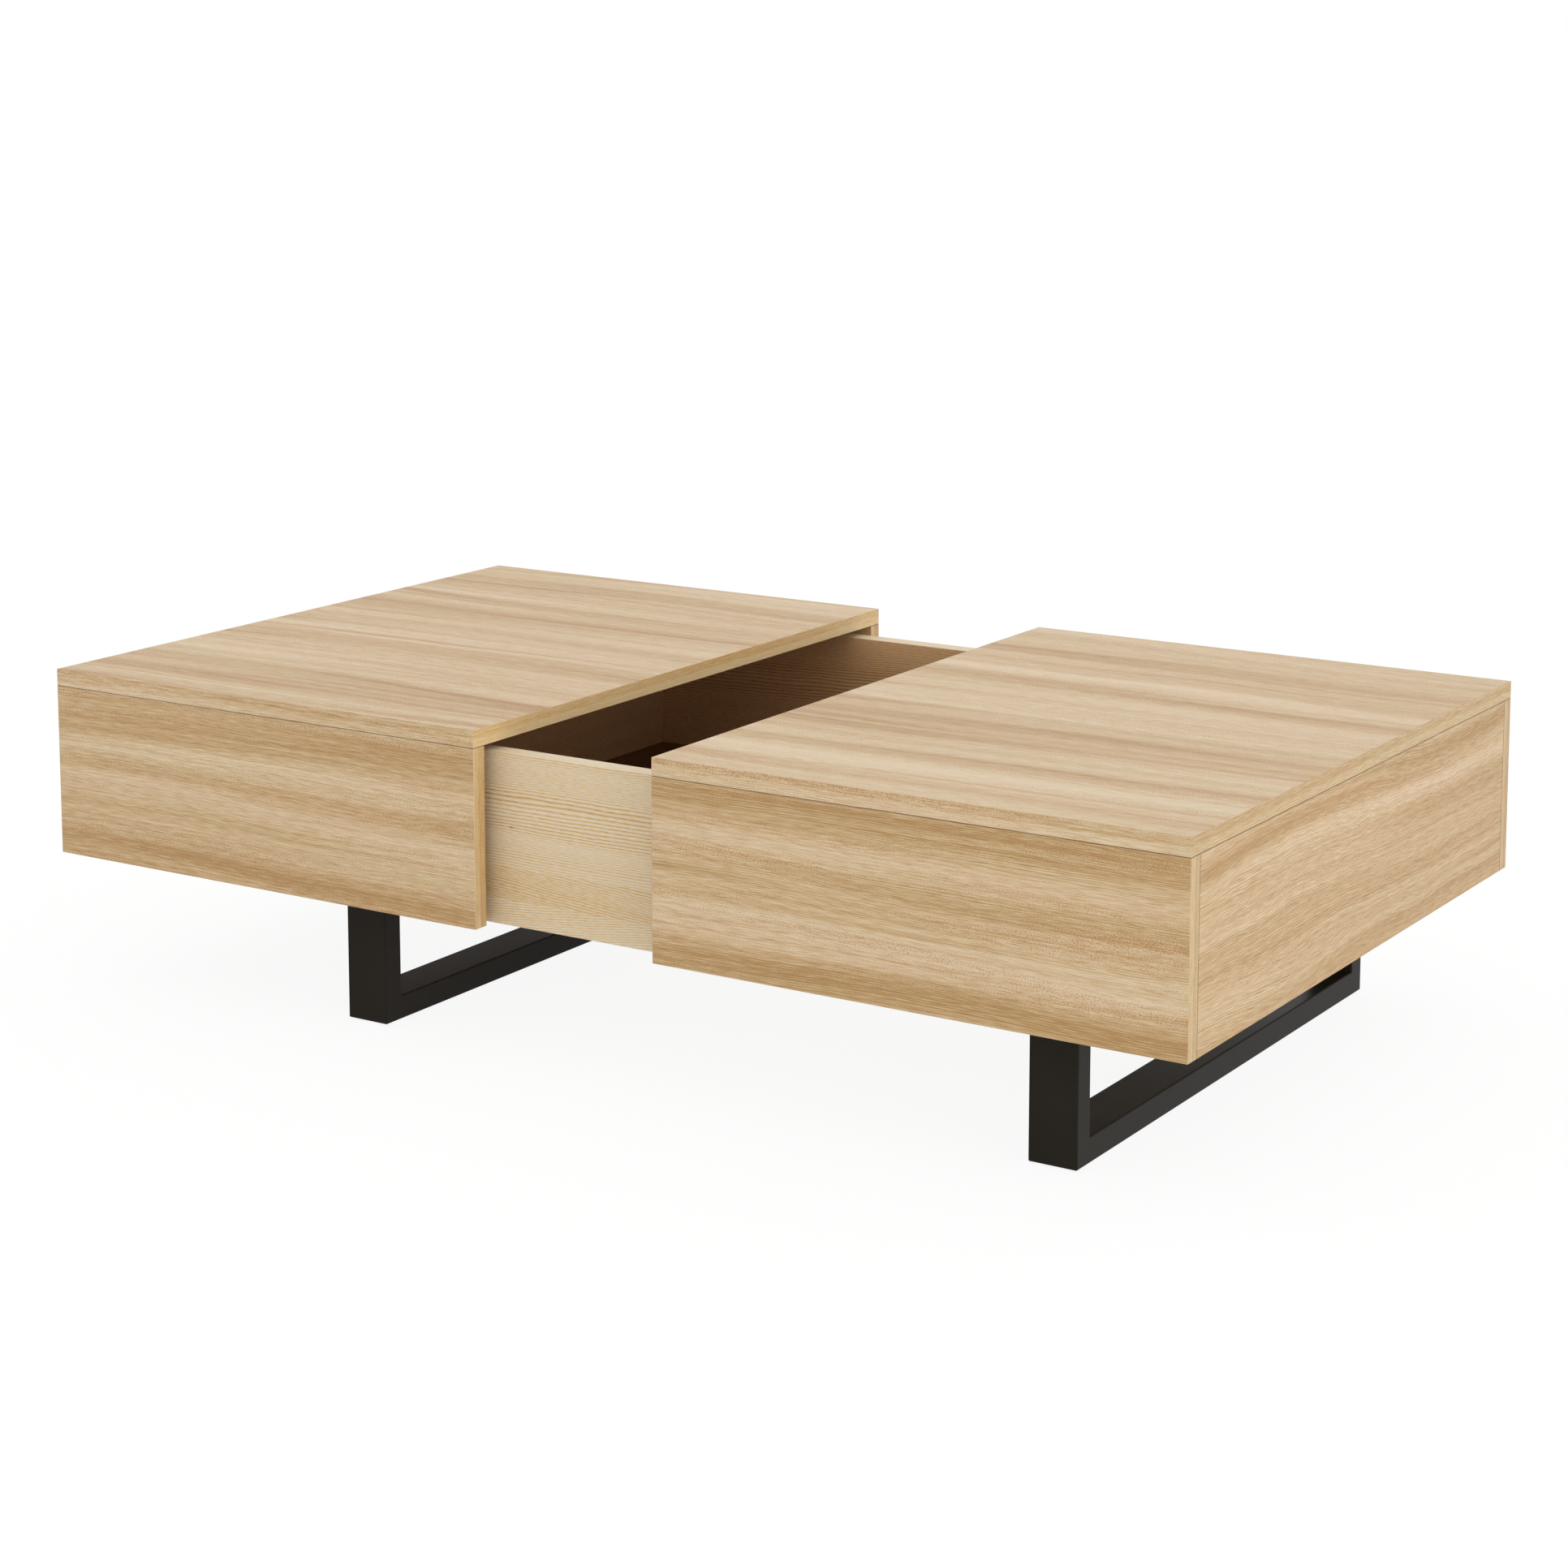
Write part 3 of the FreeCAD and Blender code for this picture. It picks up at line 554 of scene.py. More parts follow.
@dataclass(frozen=True)
class OakLaminate:
    """Light oak laminate: a cream ground, tan streaks, fine contour lines and short dark pores.

    Attributes:
        ground: The slow change from cream to tan.
        band: The soft bands on it.
        streak: Where the dark streaks lie.
        line: The fine lines.
        fibre: The finest marks.
        figure: Where the wood is figured, and how far that bends its contour lines.
        patch: Where the wood is porous and stippled.
        pore: The cells of the pores.
        stipple: The dashes of the stipple.
        streak_span: The noise from which a streak grows dark.
        dash_span: The noise from which a dash grows dark.
        dash_tones: How pale the wood between the dashes is, and how dark a dash.
        contour: Pitch of the contour lines.
        contour_span: How near a contour line it grows dark, from 0 between two to 1 on one.
        contour_mean: What the lines darken on the whole, which is given back.
        contour_depth: How dark they are.
        figured_span: The noise from which the wood is figured.
        figured_edge: How figured the inner half of an edge is.
        patch_lean: How much the porous patches keep to the dark bands.
        patch_span: The noise from which a patch grows porous.
        pore_shares: The share of cells with a pore, more in a patch and more on an outer edge.
        pore_reach: The radius of a pore in its cell.
        edge_calm: How much weaker the bands are on an edge.
        edge_tones: How much paler an edge is, and how much darker its outer half.
        stipple_shares: How stippled plain wood is, and how much less figured wood is.
        stops: The colours from the dark to the light places.
        end_colour: What the colour is multiplied by on the ends.
        painted_end_light: The colour of the painted light that brightens and warms the ends.
        green: What the colour is multiplied by where the wood turns greener.
        green_span: The noise from which it does.
        pore_colour: The colour in a pore.
        pore_depth: How far a pore takes it.
        painted_groove_shade_colour: The colour of the painted shade in the groove between two
            boards.
        painted_groove_shade_depth: How far the painted shade in the groove takes it.
        reliefs: How high the fibres stand, and how deep the pores are.
        roughness: The roughness of the surface, and how much rougher a pore is.
    """

    ground: Pattern = Pattern(1.6, 0.055, 1, strength=1.3)
    band: Pattern = Pattern(1.3, 0.020, 2, detail=2.0, strength=0.77)
    streak: Pattern = Pattern(0.80, 0.032, 3, detail=2.0)
    line: Pattern = Pattern(0.45, 0.0034, 4, detail=2.0, roughness=1.0, strength=1.35)
    fibre: Pattern = Pattern(0.018, 0.0009, 5, strength=1.5)
    figure: Pattern = Pattern(0.55, 0.040, 6, strength=5.0)
    patch: Pattern = Pattern(0.30, 0.026, 7)
    pore: Pattern = Pattern(0.0030, 0.0008, 8)
    stipple: Pattern = Pattern(0.0017, 0.0008, 9, detail=0.0, strength=1.6)
    streak_span: Span = (0.0, 0.2)
    dash_span: Span = (0.0, -0.14)
    dash_tones: Span = (0.05, 0.2)
    contour: float = 0.0021
    contour_span: Span = (0.30, 0.95)
    contour_mean: float = 0.4
    contour_depth: float = 0.30
    figured_span: Span = (-0.08, 0.12)
    figured_edge: float = 0.8
    patch_lean: float = 0.5
    patch_span: Span = (-0.10, 0.18)
    pore_shares: Triple = (0.02, 0.30, 0.15)
    pore_reach: float = 0.42
    edge_calm: float = 0.5
    edge_tones: Span = (0.20, 0.22)
    stipple_shares: Span = (0.55, 0.6)
    stops: Stops = (
        (0.0, "#ab804c"),
        (0.25, "#b99463"),
        (0.5, "#c7a67a"),
        (0.75, "#d3b691"),
        (1.0, "#dec7a6"),
    )
    end_colour: str = "#f7f6ec"
    painted_end_light: str = "#9c6625"
    green: str = "#fcfffc"
    green_span: Span = (-0.15, 0.15)
    pore_colour: str = "#96592f"
    pore_depth: float = 0.45
    painted_groove_shade_colour: str = "#4a3826"
    painted_groove_shade_depth: float = 0.85
    reliefs: Span = (0.00003, 0.00005)
    roughness: Span = (0.46, 0.12)

    def material(self, name: str, lay: Lay) -> bpy.types.Material:
        """Makes the laminate of one board.

        Args:
            name: The material's name.
            lay: How the grain lies in the board.

        Returns:
            The material.
        """
        graph = Graph.of_material(name)
        at = GrainPlace.on(graph, lay)
        band, figure, fibre = at.rows(self.band), at.rows(self.figure), at.rows(self.fibre)
        porous = graph.step(at.rows(self.patch) - band * self.patch_lean, *self.patch_span)
        pores = self._pores(at, porous)
        low, high = self.figured_span
        figured = graph.step(figure, lay.plain + low, lay.plain + high) * (1 - at.edge)
        figured = figured + at.edge * (1 - at.outer) * self.figured_edge
        tone = self._soft(at, lay, band) + fibre * self.fibre.strength
        tone = tone + at.rows(self.line) * self.line.strength * lay.contrast
        tone = tone + self._stipple(at, porous, figured) * self.stipple.strength
        tone = tone - self._contour(at, figure) * figured * self.contour_depth
        colour = graph.ramp(tone, self.stops)
        greener = graph.step(figure, *self.green_span)
        colour = graph.tint(greener, colour, self.green, Blend.MULTIPLY)
        colour = graph.tint(at.end, colour, self.end_colour, Blend.MULTIPLY)
        # painted light: brightens and warms the ends of the boards that carry it
        colour = graph.tint(at.end * lay.painted_end_light, colour, self.painted_end_light, Blend.SCREEN)
        colour = graph.tint(pores * self.pore_depth, colour, self.pore_colour)
        # painted shade: darkens the groove where two boards meet
        colour = graph.tint(at.joint * self.painted_groove_shade_depth, colour, self.painted_groove_shade_colour)
        height = fibre * self.reliefs[0] - pores * self.reliefs[1]
        return graph.surface(colour, self.roughness[0] + pores * self.roughness[1], height)

    def _pores(self, at: GrainPlace, porous: Wire) -> Wire:
        """The pores.

        Args:
            at: The place.
            porous: How porous the wood is there.

        Returns:
            1 in a pore.
        """
        few, patch, outer = self.pore_shares
        share = few + porous * patch + at.edge * at.outer * outer
        return at.graph.specks(at.cell(self.pore), self.pore_reach, share)

    def _soft(self, at: GrainPlace, lay: Lay, band: Wire) -> Wire:
        """The board's level with its slow changes, bands and streaks.

        Args:
            at: The place.
            lay: How strong the bands and streaks are, and how pale the board is.
            band: The noise of the bands.

        Returns:
            The tone.
        """
        streak = at.graph.step(at.rows(self.streak), *self.streak_span)
        soft = at.rows(self.ground) * self.ground.strength - streak * lay.streaks
        soft = soft + band * self.band.strength * lay.contrast
        paler, darker = self.edge_tones
        edge = lay.banding + paler - at.outer * darker
        return lay.tone + at.edge * (edge - lay.tone) + soft * (1 - at.edge * self.edge_calm)

    def _stipple(self, at: GrainPlace, porous: Wire, figured: Wire) -> Wire:
        """The dashes of a stippled stretch.

        Args:
            at: The place.
            porous: How porous the wood is there.
            figured: How figured it is.

        Returns:
            What they add to the tone.
        """
        dash = at.graph.step(at.noise(self.stipple), *self.dash_span)
        pale, dark = self.dash_tones
        plain, less = self.stipple_shares
        return (pale - dash * dark) * (plain + porous) * (1 - figured * less)

    def _contour(self, at: GrainPlace, figure: Wire) -> Wire:
        """The fine lines that follow the rings.

        Args:
            at: The place.
            figure: The noise that bends them.

        Returns:
            How dark they are, about a mean of 0.
        """
        bend = figure * self.figure.strength
        ring = at.graph.maths("FRACT", at.across / self.contour + bend)
        return at.graph.step(abs(ring - 0.5) * 2, *self.contour_span) - self.contour_mean


@dataclass(frozen=True)
class PineBoard:
    """Pale pine: close growth lines, wider and golden along the heart of the board.

    Attributes:
        spread: The slow change in the width of the rings, and how many rings it moves.
        wobble: Their short waves, and how many rings they move.
        zone: Where the late wood is darker.
        fibre: The finest marks.
        ring_width: The mean width of a ring.
        heart: Half the width of the stretch of wide golden rings.
        heart_span: How far off its middle that stretch begins, in shares of that half.
        heart_rings: How many rings fewer that stretch has for being wide.
        late_rise: Where in a ring its late wood grows dark.
        late_fall: Where at its end it grows pale again.
        early: The tone of the early wood.
        late: How much darker the late wood is.
        heart_late: How much more so it is in the heart.
        inside_late: How much more so it is on the inside of the box.
        zone_late: How much the zones change that.
        stops: The colours from the early wood to the late.
        fleck_colour: The colour of a fleck of resin.
        fleck: Half the length and half the width of a fleck.
        fleck_span: How far towards its rim a fleck fades.
        relief: How high the fibres stand, and how low the late wood lies.
        roughness: The roughness of the surface, and how much rougher late wood is.
    """

    spread: Pattern = Pattern(1 / 0.8, 1 / 20, 4, strength=7.0)
    wobble: Pattern = Pattern(1 / 22, 1 / 90, 6, strength=0.6)
    zone: Pattern = Pattern(1 / 1.2, 1 / 45, 2, strength=0.4)
    fibre: Pattern = Pattern(1 / 120, 1 / 1300, 3, strength=0.9)
    ring_width: float = 0.0026
    heart: float = 0.024
    heart_span: Span = (1.25, 0.6)
    heart_rings: float = 4.5
    late_rise: Span = (0.35, 0.80)
    late_fall: Span = (1.0, 0.88)
    early: float = 0.22
    late: float = 0.38
    heart_late: float = 0.22
    inside_late: float = 0.15
    zone_late: float = 0.3
    stops: Stops = (
        (0.0, "#e4d4ba"),
        (0.35, "#dac6a5"),
        (0.7, "#cfac74"),
        (1.0, "#bd8f4e"),
    )
    fleck_colour: str = "#9a4f22"
    fleck: Span = (0.0048, 0.0011)
    fleck_span: Span = (1.0, 0.3)
    relief: float = 0.00003
    roughness: Span = (0.5, 0.05)

    def material(self, name: str, lay: Lay) -> bpy.types.Material:
        """Makes the pine of one board.

        Args:
            name: The material's name.
            lay: How the grain lies in the board.

        Returns:
            The material.
        """
        graph = Graph.of_material(name)
        at = GrainPlace.on(graph, lay)
        shade: Number = 0.0
        line, layer = at.across, at.layer
        for stave in lay.staves:
            under = (at.rise < stave.level) * (1 - at.edge)
            line = line + under * (at.along * stave.turn)
            layer = layer + under * STAVE_LAYER
            shade = under * stave.shade + shade
        at = replace(at, across=line, layer=layer)
        late = self._late_wood(at, lay)
        zone, fibre = at.noise(self.zone), at.noise(self.fibre)
        off_heart = abs(at.across - lay.heart) / self.heart
        heart = graph.step(off_heart, *self.heart_span) * (1 - at.edge)
        strength = self.late + heart * self.heart_late + at.inside * self.inside_late
        strength = strength + zone * self.zone_late
        tone = self.early + shade + late * strength * (1 - at.edge)
        tone = tone + fibre * self.fibre.strength + zone * self.zone.strength
        colour = graph.ramp(tone, self.stops)
        for place, level in lay.flecks:
            run = abs(at.along - place) / self.fleck[0]
            rise = abs(at.rise - level) / self.fleck[1]
            fleck = graph.step(run + rise, *self.fleck_span)
            colour = graph.tint(fleck, colour, self.fleck_colour)
        # painted shade: darkens and warms the faces inside the box
        colour = graph.tint(at.inside, colour, lay.stain, Blend.MULTIPLY)
        height = (fibre - late) * self.relief
        return graph.surface(colour, self.roughness[0] + late * self.roughness[1], height)

    def _late_wood(self, at: GrainPlace, lay: Lay) -> Wire:
        """The dark part of each ring.

        Args:
            at: The place.
            lay: Where the heart lies.

        Returns:
            1 in the late wood.
        """
        graph = at.graph
        wider = graph.step(at.across - lay.heart, -self.heart, self.heart) * self.heart_rings
        bend = at.noise(self.spread) * self.spread.strength
        bend = bend + at.noise(self.wobble) * self.wobble.strength
        ring = graph.maths("FRACT", at.across / self.ring_width - wider + bend)
        return graph.step(ring, *self.late_rise) * graph.step(ring, *self.late_fall)


@dataclass(frozen=True)
class PowderCoat:
    """Black powder coat on steel: satin, with a fine orange peel.

    Attributes:
        stops: The colours from its dark to its light places.
        cloud: The size of its faint clouds.
        peel: The size of the dimples of its orange peel.
        tones: How far the clouds and the dimples change the tone.
        relief: How deep the dimples are.
        roughness: The mean roughness, and how far the clouds change it.
        gloss: How much it shines.
    """

    stops: Stops = ((0.0, "#24201b"), (0.5, "#28241f"), (1.0, "#2e2a25"))
    cloud: float = 1 / 9
    peel: float = 0.0009
    tones: Span = (0.8, 0.4)
    relief: float = 0.00003
    roughness: Span = (0.34, 0.12)
    gloss: float = 0.055

    def material(self, name: str) -> bpy.types.Material:
        """Makes the coat under that name."""
        graph = Graph.of_material(name)
        cloud = graph.noise(graph.cells((self.cloud,) * 3))
        peel = graph.noise(graph.cells((self.peel,) * 3))
        colour = graph.ramp(0.5 + cloud * self.tones[0] + peel * self.tones[1], self.stops)
        roughness = self.roughness[0] + cloud * self.roughness[1]
        shine = {"Specular IOR Level": self.gloss}
        return graph.surface(colour, roughness, peel * self.relief, shine)


@dataclass(frozen=True)
class Mottled:
    """A finish with marks of one size all over, such as dowel wood or felt.

    Attributes:
        stops: The colours from its dark to its light places.
        roughness: The mean roughness.
        cell: The size of its marks along each axis.
        relief: The height of the marks.
        detail: How many layers of finer marks lie on them.
        harshness: How strong each finer layer is.
        contrast: How far the marks change the colour.
        wear: How far they change the roughness.
        metallic: 1 on metal.
    """

    stops: Stops
    roughness: float
    cell: Triple
    relief: float
    detail: float = 4.0
    harshness: float = 0.65
    contrast: float = 1.8
    wear: float = 0.0
    metallic: float = 0.0

    def material(self, name: str) -> bpy.types.Material:
        """Makes the finish under that name."""
        graph = Graph.of_material(name)
        marks = graph.noise(graph.cells(self.cell), self.detail, self.harshness)
        colour = graph.ramp(0.5 + marks * self.contrast, self.stops)
        roughness = self.roughness + marks * self.wear if self.wear else self.roughness
        return graph.surface(
            colour, roughness, marks * self.relief, {"Metallic": self.metallic})


@dataclass(frozen=True)
class BareMetal(Mottled):
    """Bare or plated metal, drawn or mottled."""

    relief: float = 0.00001
    detail: float = 3.0
    harshness: float = 0.6
    contrast: float = 1.6
    wear: float = 0.25
    metallic: float = 1.0


OAK = OakLaminate()
PINE = PineBoard()
BLACK_COAT = PowderCoat()
SLIDE_STEEL = BareMetal(
    stops=((0.0, "#8f9296"), (0.5, "#b4b7ba"), (1.0, "#d0d2d3")),
    roughness=0.34, cell=(0.06, 0.0009, 0.0009))
ZINC = BareMetal(
    stops=((0.0, "#8c8f90"), (0.5, "#b9bbba"), (1.0, "#d5d4cf")),
    roughness=0.42, cell=(0.003,) * 3)
BALL_STEEL = BareMetal(
    stops=((0.0, "#c4c6c8"), (1.0, "#dcdddf")), roughness=0.12, cell=(0.002,) * 3)
CAGE_STEEL = BareMetal(
    stops=((0.0, "#7d8083"), (0.5, "#a2a5a8"), (1.0, "#bdbfc1")),
    roughness=0.40, cell=(0.02, 0.001, 0.001))
BEECH = Mottled(
    stops=((0.0, "#b08a63"), (0.5, "#cda47c"), (1.0, "#dcbb96")),
    roughness=0.62, cell=(0.0016,) * 3, relief=0.00004)
FELT = Mottled(
    stops=((0.0, "#23211f"), (0.5, "#35322f"), (1.0, "#4a4642")),
    roughness=0.95, cell=(0.0007,) * 3, relief=0.0002)


def dress(node: str, material: bpy.types.Material) -> None:
    """Gives a solid its finish.

    Args:
        node: The solid's name.
        material: The finish.
    """
    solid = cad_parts[node]
    if not solid.material_slots:
        solid.data.materials.append(material)
    for place in solid.material_slots:
        place.material = material
    LOG.info("%s: %s", node, material.name)


def middle_of(node: str, axis: Axis) -> float:
    """The middle of a solid along an axis, from its box."""
    low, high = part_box(node)
    return (low[axis.value] + high[axis.value]) / 2


@dataclass(frozen=True)
class Cut:
    """Where a board was cut from the wood.

    Attributes:
        seed: Which piece of wood.
        along: Where the board starts in it, along the grain.
        across: Where the board starts in it, across the grain.
        banding: How pale the board's edges are.
        painted_end_light: How much painted light brightens and warms its ends.
        bold: How much stronger than usual the bands of its face are.
    """

    seed: float
    along: float = 0.0
    across: float = 0.0
    banding: float = 0.5
    painted_end_light: float = 0.0
    bold: float = 1.0


@dataclass
class Sleeve:
    """One half of the table: a top, a front, a rear and an end panel, and what joins them.

    Attributes:
        half: Which half.
        top: The top's cut.
        front: The front panel's.
        rear: The rear panel's.
        end: The end panel's.
        seam: The level of the top's underside.
        front_joint: Where the front panel meets the end panel.
        rear_joint: Where the rear panel does.
    """

    half: Half
    top: Cut
    front: Cut
    rear: Cut
    end: Cut
    seam: float = field(init=False)
    front_joint: float = field(init=False)
    rear_joint: float = field(init=False)

    def __post_init__(self) -> None:
        """Takes the joints from the boards that meet there."""
        name = self.half.value
        self.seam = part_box(f"{name}_top_panel")[0].z
        self.front_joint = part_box(f"{name}_front_panel")[1].y
        self.rear_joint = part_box(f"{name}_rear_panel")[0].y

    def _dress_board(
        self, board: str, through: Axis, along: Axis, cut: Cut, **ways: float
    ) -> None:
        """Gives one of the half's boards its oak, with the joints that it meets.

        Args:
            board: The board's name within the half.
            through: The axis through its thickness; a top lies over the upright ones.
            along: The axis that the grain follows.
            cut: Where it was cut from the wood.
            ways: What else its lay holds.
        """
        joints = [Joint(Axis.Z, self.seam)]
        if through is not Axis.Z:
            joints += [Joint(Axis.Y, self.front_joint), Joint(Axis.Y, self.rear_joint)]
        node = f"{self.half.value}_{board}"
        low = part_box(node)[0]
        across = third_axis(through, along)
        lay = Lay(
            through,
            along,
            middle=middle_of(node, through),
            seed=cut.seed,
            start=(cut.along - low[along.value], cut.across - low[across.value]),
            joints=joints,
            banding=cut.banding,
            painted_end_light=cut.painted_end_light,
            **ways,
        )
        dress(node, OAK.material(f"oak_{node}", lay))

    def dress(self) -> None:
        """Gives the half's boards and fittings their finishes."""
        self._dress_board(
            "top_panel", Axis.Z, Axis.X, self.top,
            flow=0.045, sway=0.008, plain=0.1, tone=0.62,
            contrast=0.5 * self.top.bold, streaks=0.3 * self.top.bold)
        self._dress_board("front_panel", Axis.Y, Axis.X, self.front)
        self._dress_board("rear_panel", Axis.Y, Axis.X, self.rear)
        self._dress_board(
            "end_panel", Axis.X, Axis.Y, self.end,
            flow=0.055, sway=0.012, plain=-0.08, tone=0.54, contrast=0.85)
        name = self.half.value
        dress(f"{name}_cam_locks", ZINC.material(f"zinc_{name}_cam_locks"))
        dress(f"{name}_cam_bolts", ZINC.material(f"zinc_{name}_cam_bolts"))
        dress(f"{name}_dowels", BEECH.material(f"beech_{name}_dowels"))


@dataclass
class StorageBox:
    """The box between the halves: four walls and a bottom of pine.

    Attributes:
        wall_seed: Which piece of wood the front wall was cut from, with the others next to it.
        wall_heart: The level of the walls' heart.
        wall_staves: The strips under the front wall's uppermost one.
        fleck: Where the front wall's fleck of resin lies, along it and up.
        wall_stain: The painted shade on the long walls' inside.
        end_stain: The painted shade on the end walls' inside.
        bottom_stain: The painted shade on the bottom's inside.
    """

    wall_seed: float = 21.0
    wall_heart: float = 0.26
    wall_staves: Sequence[Stave] = (
        Stave(level=0.201, turn=0.06, shade=0.16),
        Stave(level=0.168, turn=-0.17, shade=-0.2),
    )
    fleck: Span = (-0.0835, 0.242)
    wall_stain: str = "#fbe2ca"
    end_stain: str = "#dcbfa6"
    bottom_stain: str = "#8a6b50"

    def _dress_board(self, node: str, through: Axis, along: Axis, **ways: object) -> None:
        """Gives a board its pine, by the axes of its lay and what else that holds."""
        lay = Lay(through, along, middle_of(node, through), **ways)
        dress(node, PINE.material(f"pine_{node}", lay))

    def dress(self) -> None:
        """Gives the walls, the bottom and their fastenings their finishes."""
        # The inside faces of the walls and the bottom carry painted shade.
        long_wall = {"flow": 0.012, "heart": self.wall_heart, "stain": self.wall_stain}
        end_wall = {
            "flow": 0.05, "sway": 0.008, "heart": self.wall_heart, "stain": self.end_stain}
        self._dress_board(
            "box_front_wall", Axis.Y, Axis.X, seed=self.wall_seed, inward=1,
            staves=self.wall_staves, flecks=[self.fleck], **long_wall)
        self._dress_board(
            "box_rear_wall", Axis.Y, Axis.X, seed=self.wall_seed + 1, inward=-1, tilt=-0.03,
            **long_wall)
        self._dress_board(
            "box_left_end_wall", Axis.X, Axis.Y, seed=self.wall_seed + 2, inward=1, **end_wall)
        self._dress_board(
            "box_right_end_wall", Axis.X, Axis.Y, seed=self.wall_seed + 3, inward=-1, **end_wall)
        self._dress_board(
            "box_bottom_panel", Axis.Z, Axis.X, seed=self.wall_seed + 4, inward=1,
            stain=self.bottom_stain)
        dress("box_screws", ZINC.material("zinc_box_screws"))
        dress("box_dowels", BEECH.material("beech_box_dowels"))


@dataclass
class SledLeg:
    """A rectangle of black flat tube under the box, on felt pads.

    Attributes:
        half: The half of the table that it stands under.
    """

    half: Half

    def dress(self) -> None:
        """Gives the tubes, the screws and the pads their finishes."""
        name = self.half.value
        coat = BLACK_COAT.material(f"black_{name}_leg")
        for tube in ("front_post", "rear_post", "foot_bar", "top_bar"):
            dress(f"{name}_leg_{tube}", coat)
        dress(f"{name}_leg_screws", ZINC.material(f"zinc_{name}_leg_screws"))
        dress(f"{name}_foot_pads", FELT.material(f"felt_{name}_foot_pads"))


@dataclass
class SlidePair:
    """The two ball-bearing slides of a half.

    Attributes:
        half: The half that they carry.
    """

    half: Half

    def dress(self) -> None:
        """Gives the rails, cages, balls and screws their finishes."""
        name = self.half.value
        steel = SLIDE_STEEL.material(f"steel_{name}_slides")
        for row in Row:
            for rail in ("outer", "middle", "inner"):
                dress(f"{name}_{row.value}_slide_{rail}_rail", steel)
        cage = CAGE_STEEL.material(f"cage_{name}_slides")
        ball = BALL_STEEL.material(f"balls_{name}_slides")
        for place in ("outer", "inner"):
            dress(f"{name}_{place}_ball_cages", cage)
            dress(f"{name}_{place}_balls", ball)
        screw = ZINC.material(f"zinc_{name}_slide_screws")
        dress(f"{name}_box_rail_screws", screw)
        dress(f"{name}_sleeve_rail_screws", screw)


@dataclass(frozen=True)
class Lamp:
    """A soft square lamp that looks at the table.

    Attributes:
        name: The lamp's name.
        place: Where it hangs.
        size: The length of its side.
        power: Its power in watts.
    """

    name: str
    place: Triple
    size: float
    power: float

    def build(self) -> None:
        """Hangs the lamp and aims it at the table."""
        lamp = bpy.data.lights.new(self.name, "AREA")
        lamp.shape = "SQUARE"
        lamp.size = self.size
        lamp.energy = self.power
        holder = bpy.data.objects.new(self.name, lamp)
        holder.location = self.place
        holder.rotation_euler = (-Vector(self.place)).to_track_quat("-Z", "Y").to_euler()
        bpy.context.scene.collection.objects.link(holder)
        LOG.info("%s lamp", self.name)


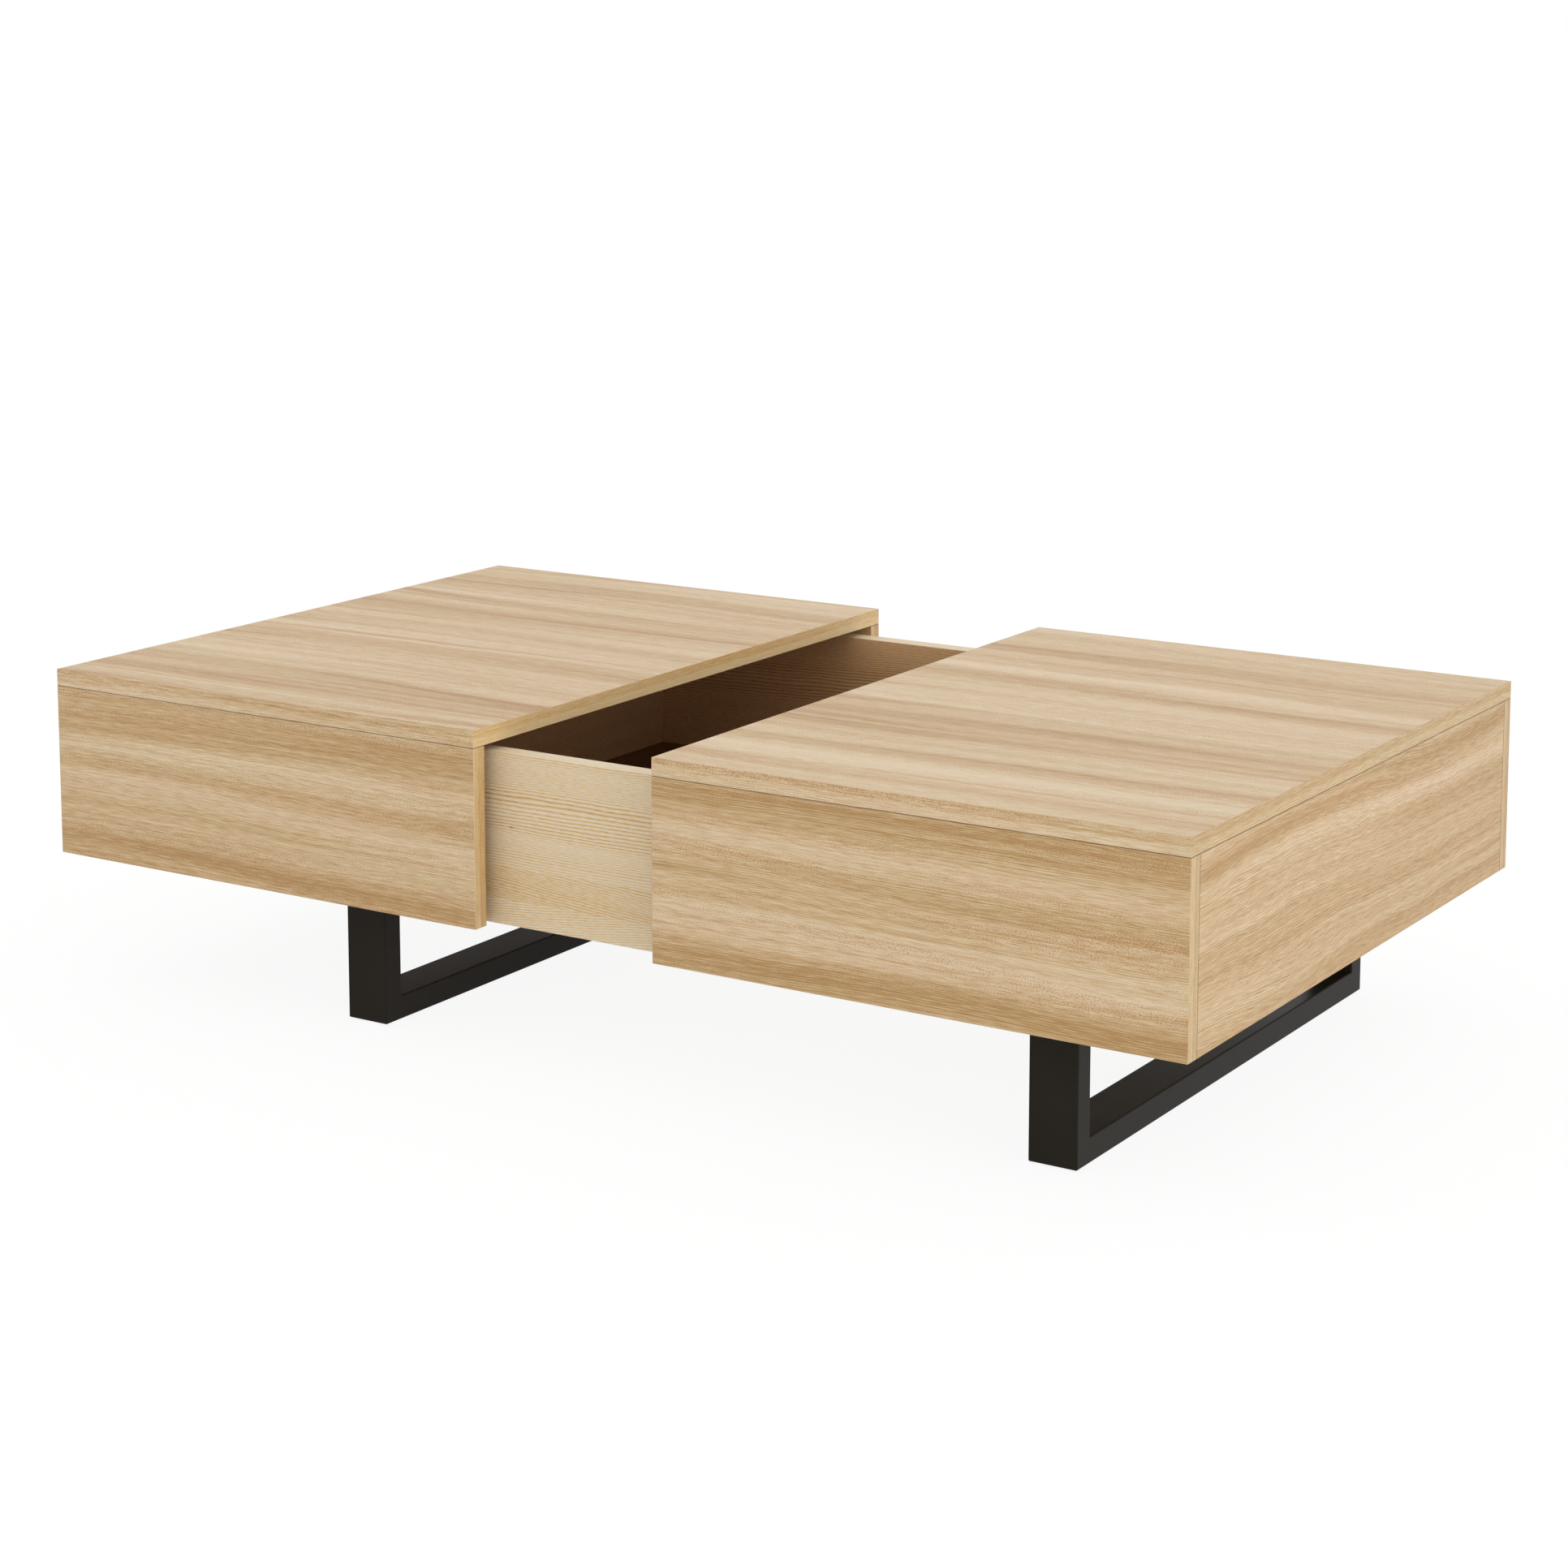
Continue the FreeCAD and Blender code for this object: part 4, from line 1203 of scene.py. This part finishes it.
@dataclass
class Studio:
    """A pale floor, a pale sky and the lamps.

    Attributes:
        floor_reach: How far the floor runs each way.
        floor_drop: How far it lies under the feet, clear of them.
        floor_colour: The colour of its paper.
        floor_lit: How bright the open floor is under the lamps.
        floor_share: How much of the floor that the camera sees is plain white.
        sky: The light of the sky.
        lamps: The lamps.
    """

    floor_reach: float = 40.0
    floor_drop: float = 0.0005
    floor_colour: str = "#e9e9e8"
    floor_lit: float = 0.75
    floor_share: float = 0.88
    sky: float = 0.98
    lamps: Sequence[Lamp] = (Lamp("side", place=(4.4, -1.8, 0.8), size=2.2, power=40.0),)

    def build(self) -> None:
        """Makes the floor, the sky and the lamps."""
        self._build_floor()
        self._build_sky()
        for lamp in self.lamps:
            lamp.build()

    @staticmethod
    def _seen(graph: Graph) -> Wire:
        """1 for a ray that shows the surroundings, straight, mirrored or through glass."""
        rays = graph.node("ShaderNodeLightPath")
        shown = graph.wire(rays, "Is Camera Ray") + graph.wire(rays, "Is Glossy Ray")
        return shown + graph.wire(rays, "Is Transmission Ray")

    def _build_floor(self) -> None:
        """Lays the floor under the feet: it looks white, and keeps the object's shadow."""
        reach = self.floor_reach
        corners = [(-reach, -reach, 0), (reach, -reach, 0), (reach, reach, 0), (-reach, reach, 0)]
        mesh = bpy.data.meshes.new("floor")
        mesh.from_pydata(corners, [], [(0, 1, 2, 3)])
        floor = bpy.data.objects.new("floor", mesh)
        floor.location.z = -self.floor_drop
        bpy.context.scene.collection.objects.link(floor)
        graph = Graph.of_material("floor_paper")
        # The strength of glow that, with the share of lit paper, adds up to white.
        strength = (1 - (1 - self.floor_share) * self.floor_lit) / self.floor_share
        seen = self._seen(graph) * self.floor_share
        paper = graph.node("ShaderNodeBsdfDiffuse", None, {"Color": rgba(self.floor_colour)})
        white = {"Color": rgba(WHITE), "Strength": strength}
        glow = graph.node("ShaderNodeEmission", None, white)
        mix = graph.node(
            "ShaderNodeMixShader", None, {0: seen, 1: graph.wire(paper), 2: graph.wire(glow)})
        graph.node("ShaderNodeOutputMaterial", None, {"Surface": graph.wire(mix)})
        mesh.materials.append(graph.owner)
        LOG.info("floor")

    def _build_sky(self) -> None:
        """Lights the scene from all round, and shows as white."""
        world = bpy.data.worlds.new("sky")
        bpy.context.scene.world = world
        graph = Graph(world)
        light, white = (
            graph.node("ShaderNodeBackground", None, {"Color": rgba(WHITE), "Strength": strength})
            for strength in (self.sky, 1.0)
        )
        seen = self._seen(graph)
        mix = graph.node(
            "ShaderNodeMixShader", None, {0: seen, 1: graph.wire(light), 2: graph.wire(white)})
        graph.node("ShaderNodeOutputWorld", None, {"Surface": graph.wire(mix)})
        LOG.info("sky")


@dataclass
class View:
    """The camera, with a long lens and a small downward look.

    Attributes:
        place: Where it stands.
        turn: How far it is turned to the left of straight ahead.
        dip: How far it looks down.
        lens: The lens in millimetres.
        sensor: The width of its sensor in millimetres.
        rise: The shift of the picture, in widths of it.
        near: The nearest distance that it shows.
    """

    place: Triple = (1.82804, -2.85753, 1.04252)
    turn: float = math.radians(32.491)
    dip: float = math.radians(8.102)
    lens: float = 75.316
    sensor: float = 36.0
    rise: float = -0.2
    near: float = 0.05

    def build(self) -> None:
        """Places the camera and makes it the scene's own."""
        data = bpy.data.cameras.new("view")
        data.sensor_width = self.sensor
        data.lens = self.lens
        data.shift_y = self.rise
        data.clip_start = self.near
        data.dof.use_dof = False
        camera = bpy.data.objects.new("view", data)
        camera.location = self.place
        camera.rotation_euler = (math.pi / 2 - self.dip, 0.0, self.turn)
        bpy.context.scene.collection.objects.link(camera)
        bpy.context.scene.camera = camera
        LOG.info("camera")


def main() -> None:
    logging.basicConfig(level=logging.INFO, format="%(message)s")
    bpy.context.scene.view_settings.view_transform = "Standard"
    View().build()
    Studio().build()
    # The left half's boards carry painted light on their ends.
    Sleeve(
        Half.LEFT,
        top=Cut(seed=2, along=15.367, across=6.072, banding=0.68, painted_end_light=1.0, bold=1.5),
        front=Cut(seed=3, along=4.050, across=2.658, painted_end_light=0.5),
        rear=Cut(seed=4, along=9.808, across=4.504, painted_end_light=0.5),
        end=Cut(seed=1, along=11.142, across=0.726),
    ).dress()
    Sleeve(
        Half.RIGHT,
        top=Cut(seed=1, along=1.650, across=2.400),
        front=Cut(seed=3, along=4.650, across=2.054),
        rear=Cut(seed=1, along=0.992, across=2.428),
        end=Cut(seed=2, along=7.167, across=3.082),
    ).dress()
    StorageBox().dress()
    for half in Half:
        SledLeg(half).dress()
        SlidePair(half).dress()


if __name__ == "__main__":
    main()
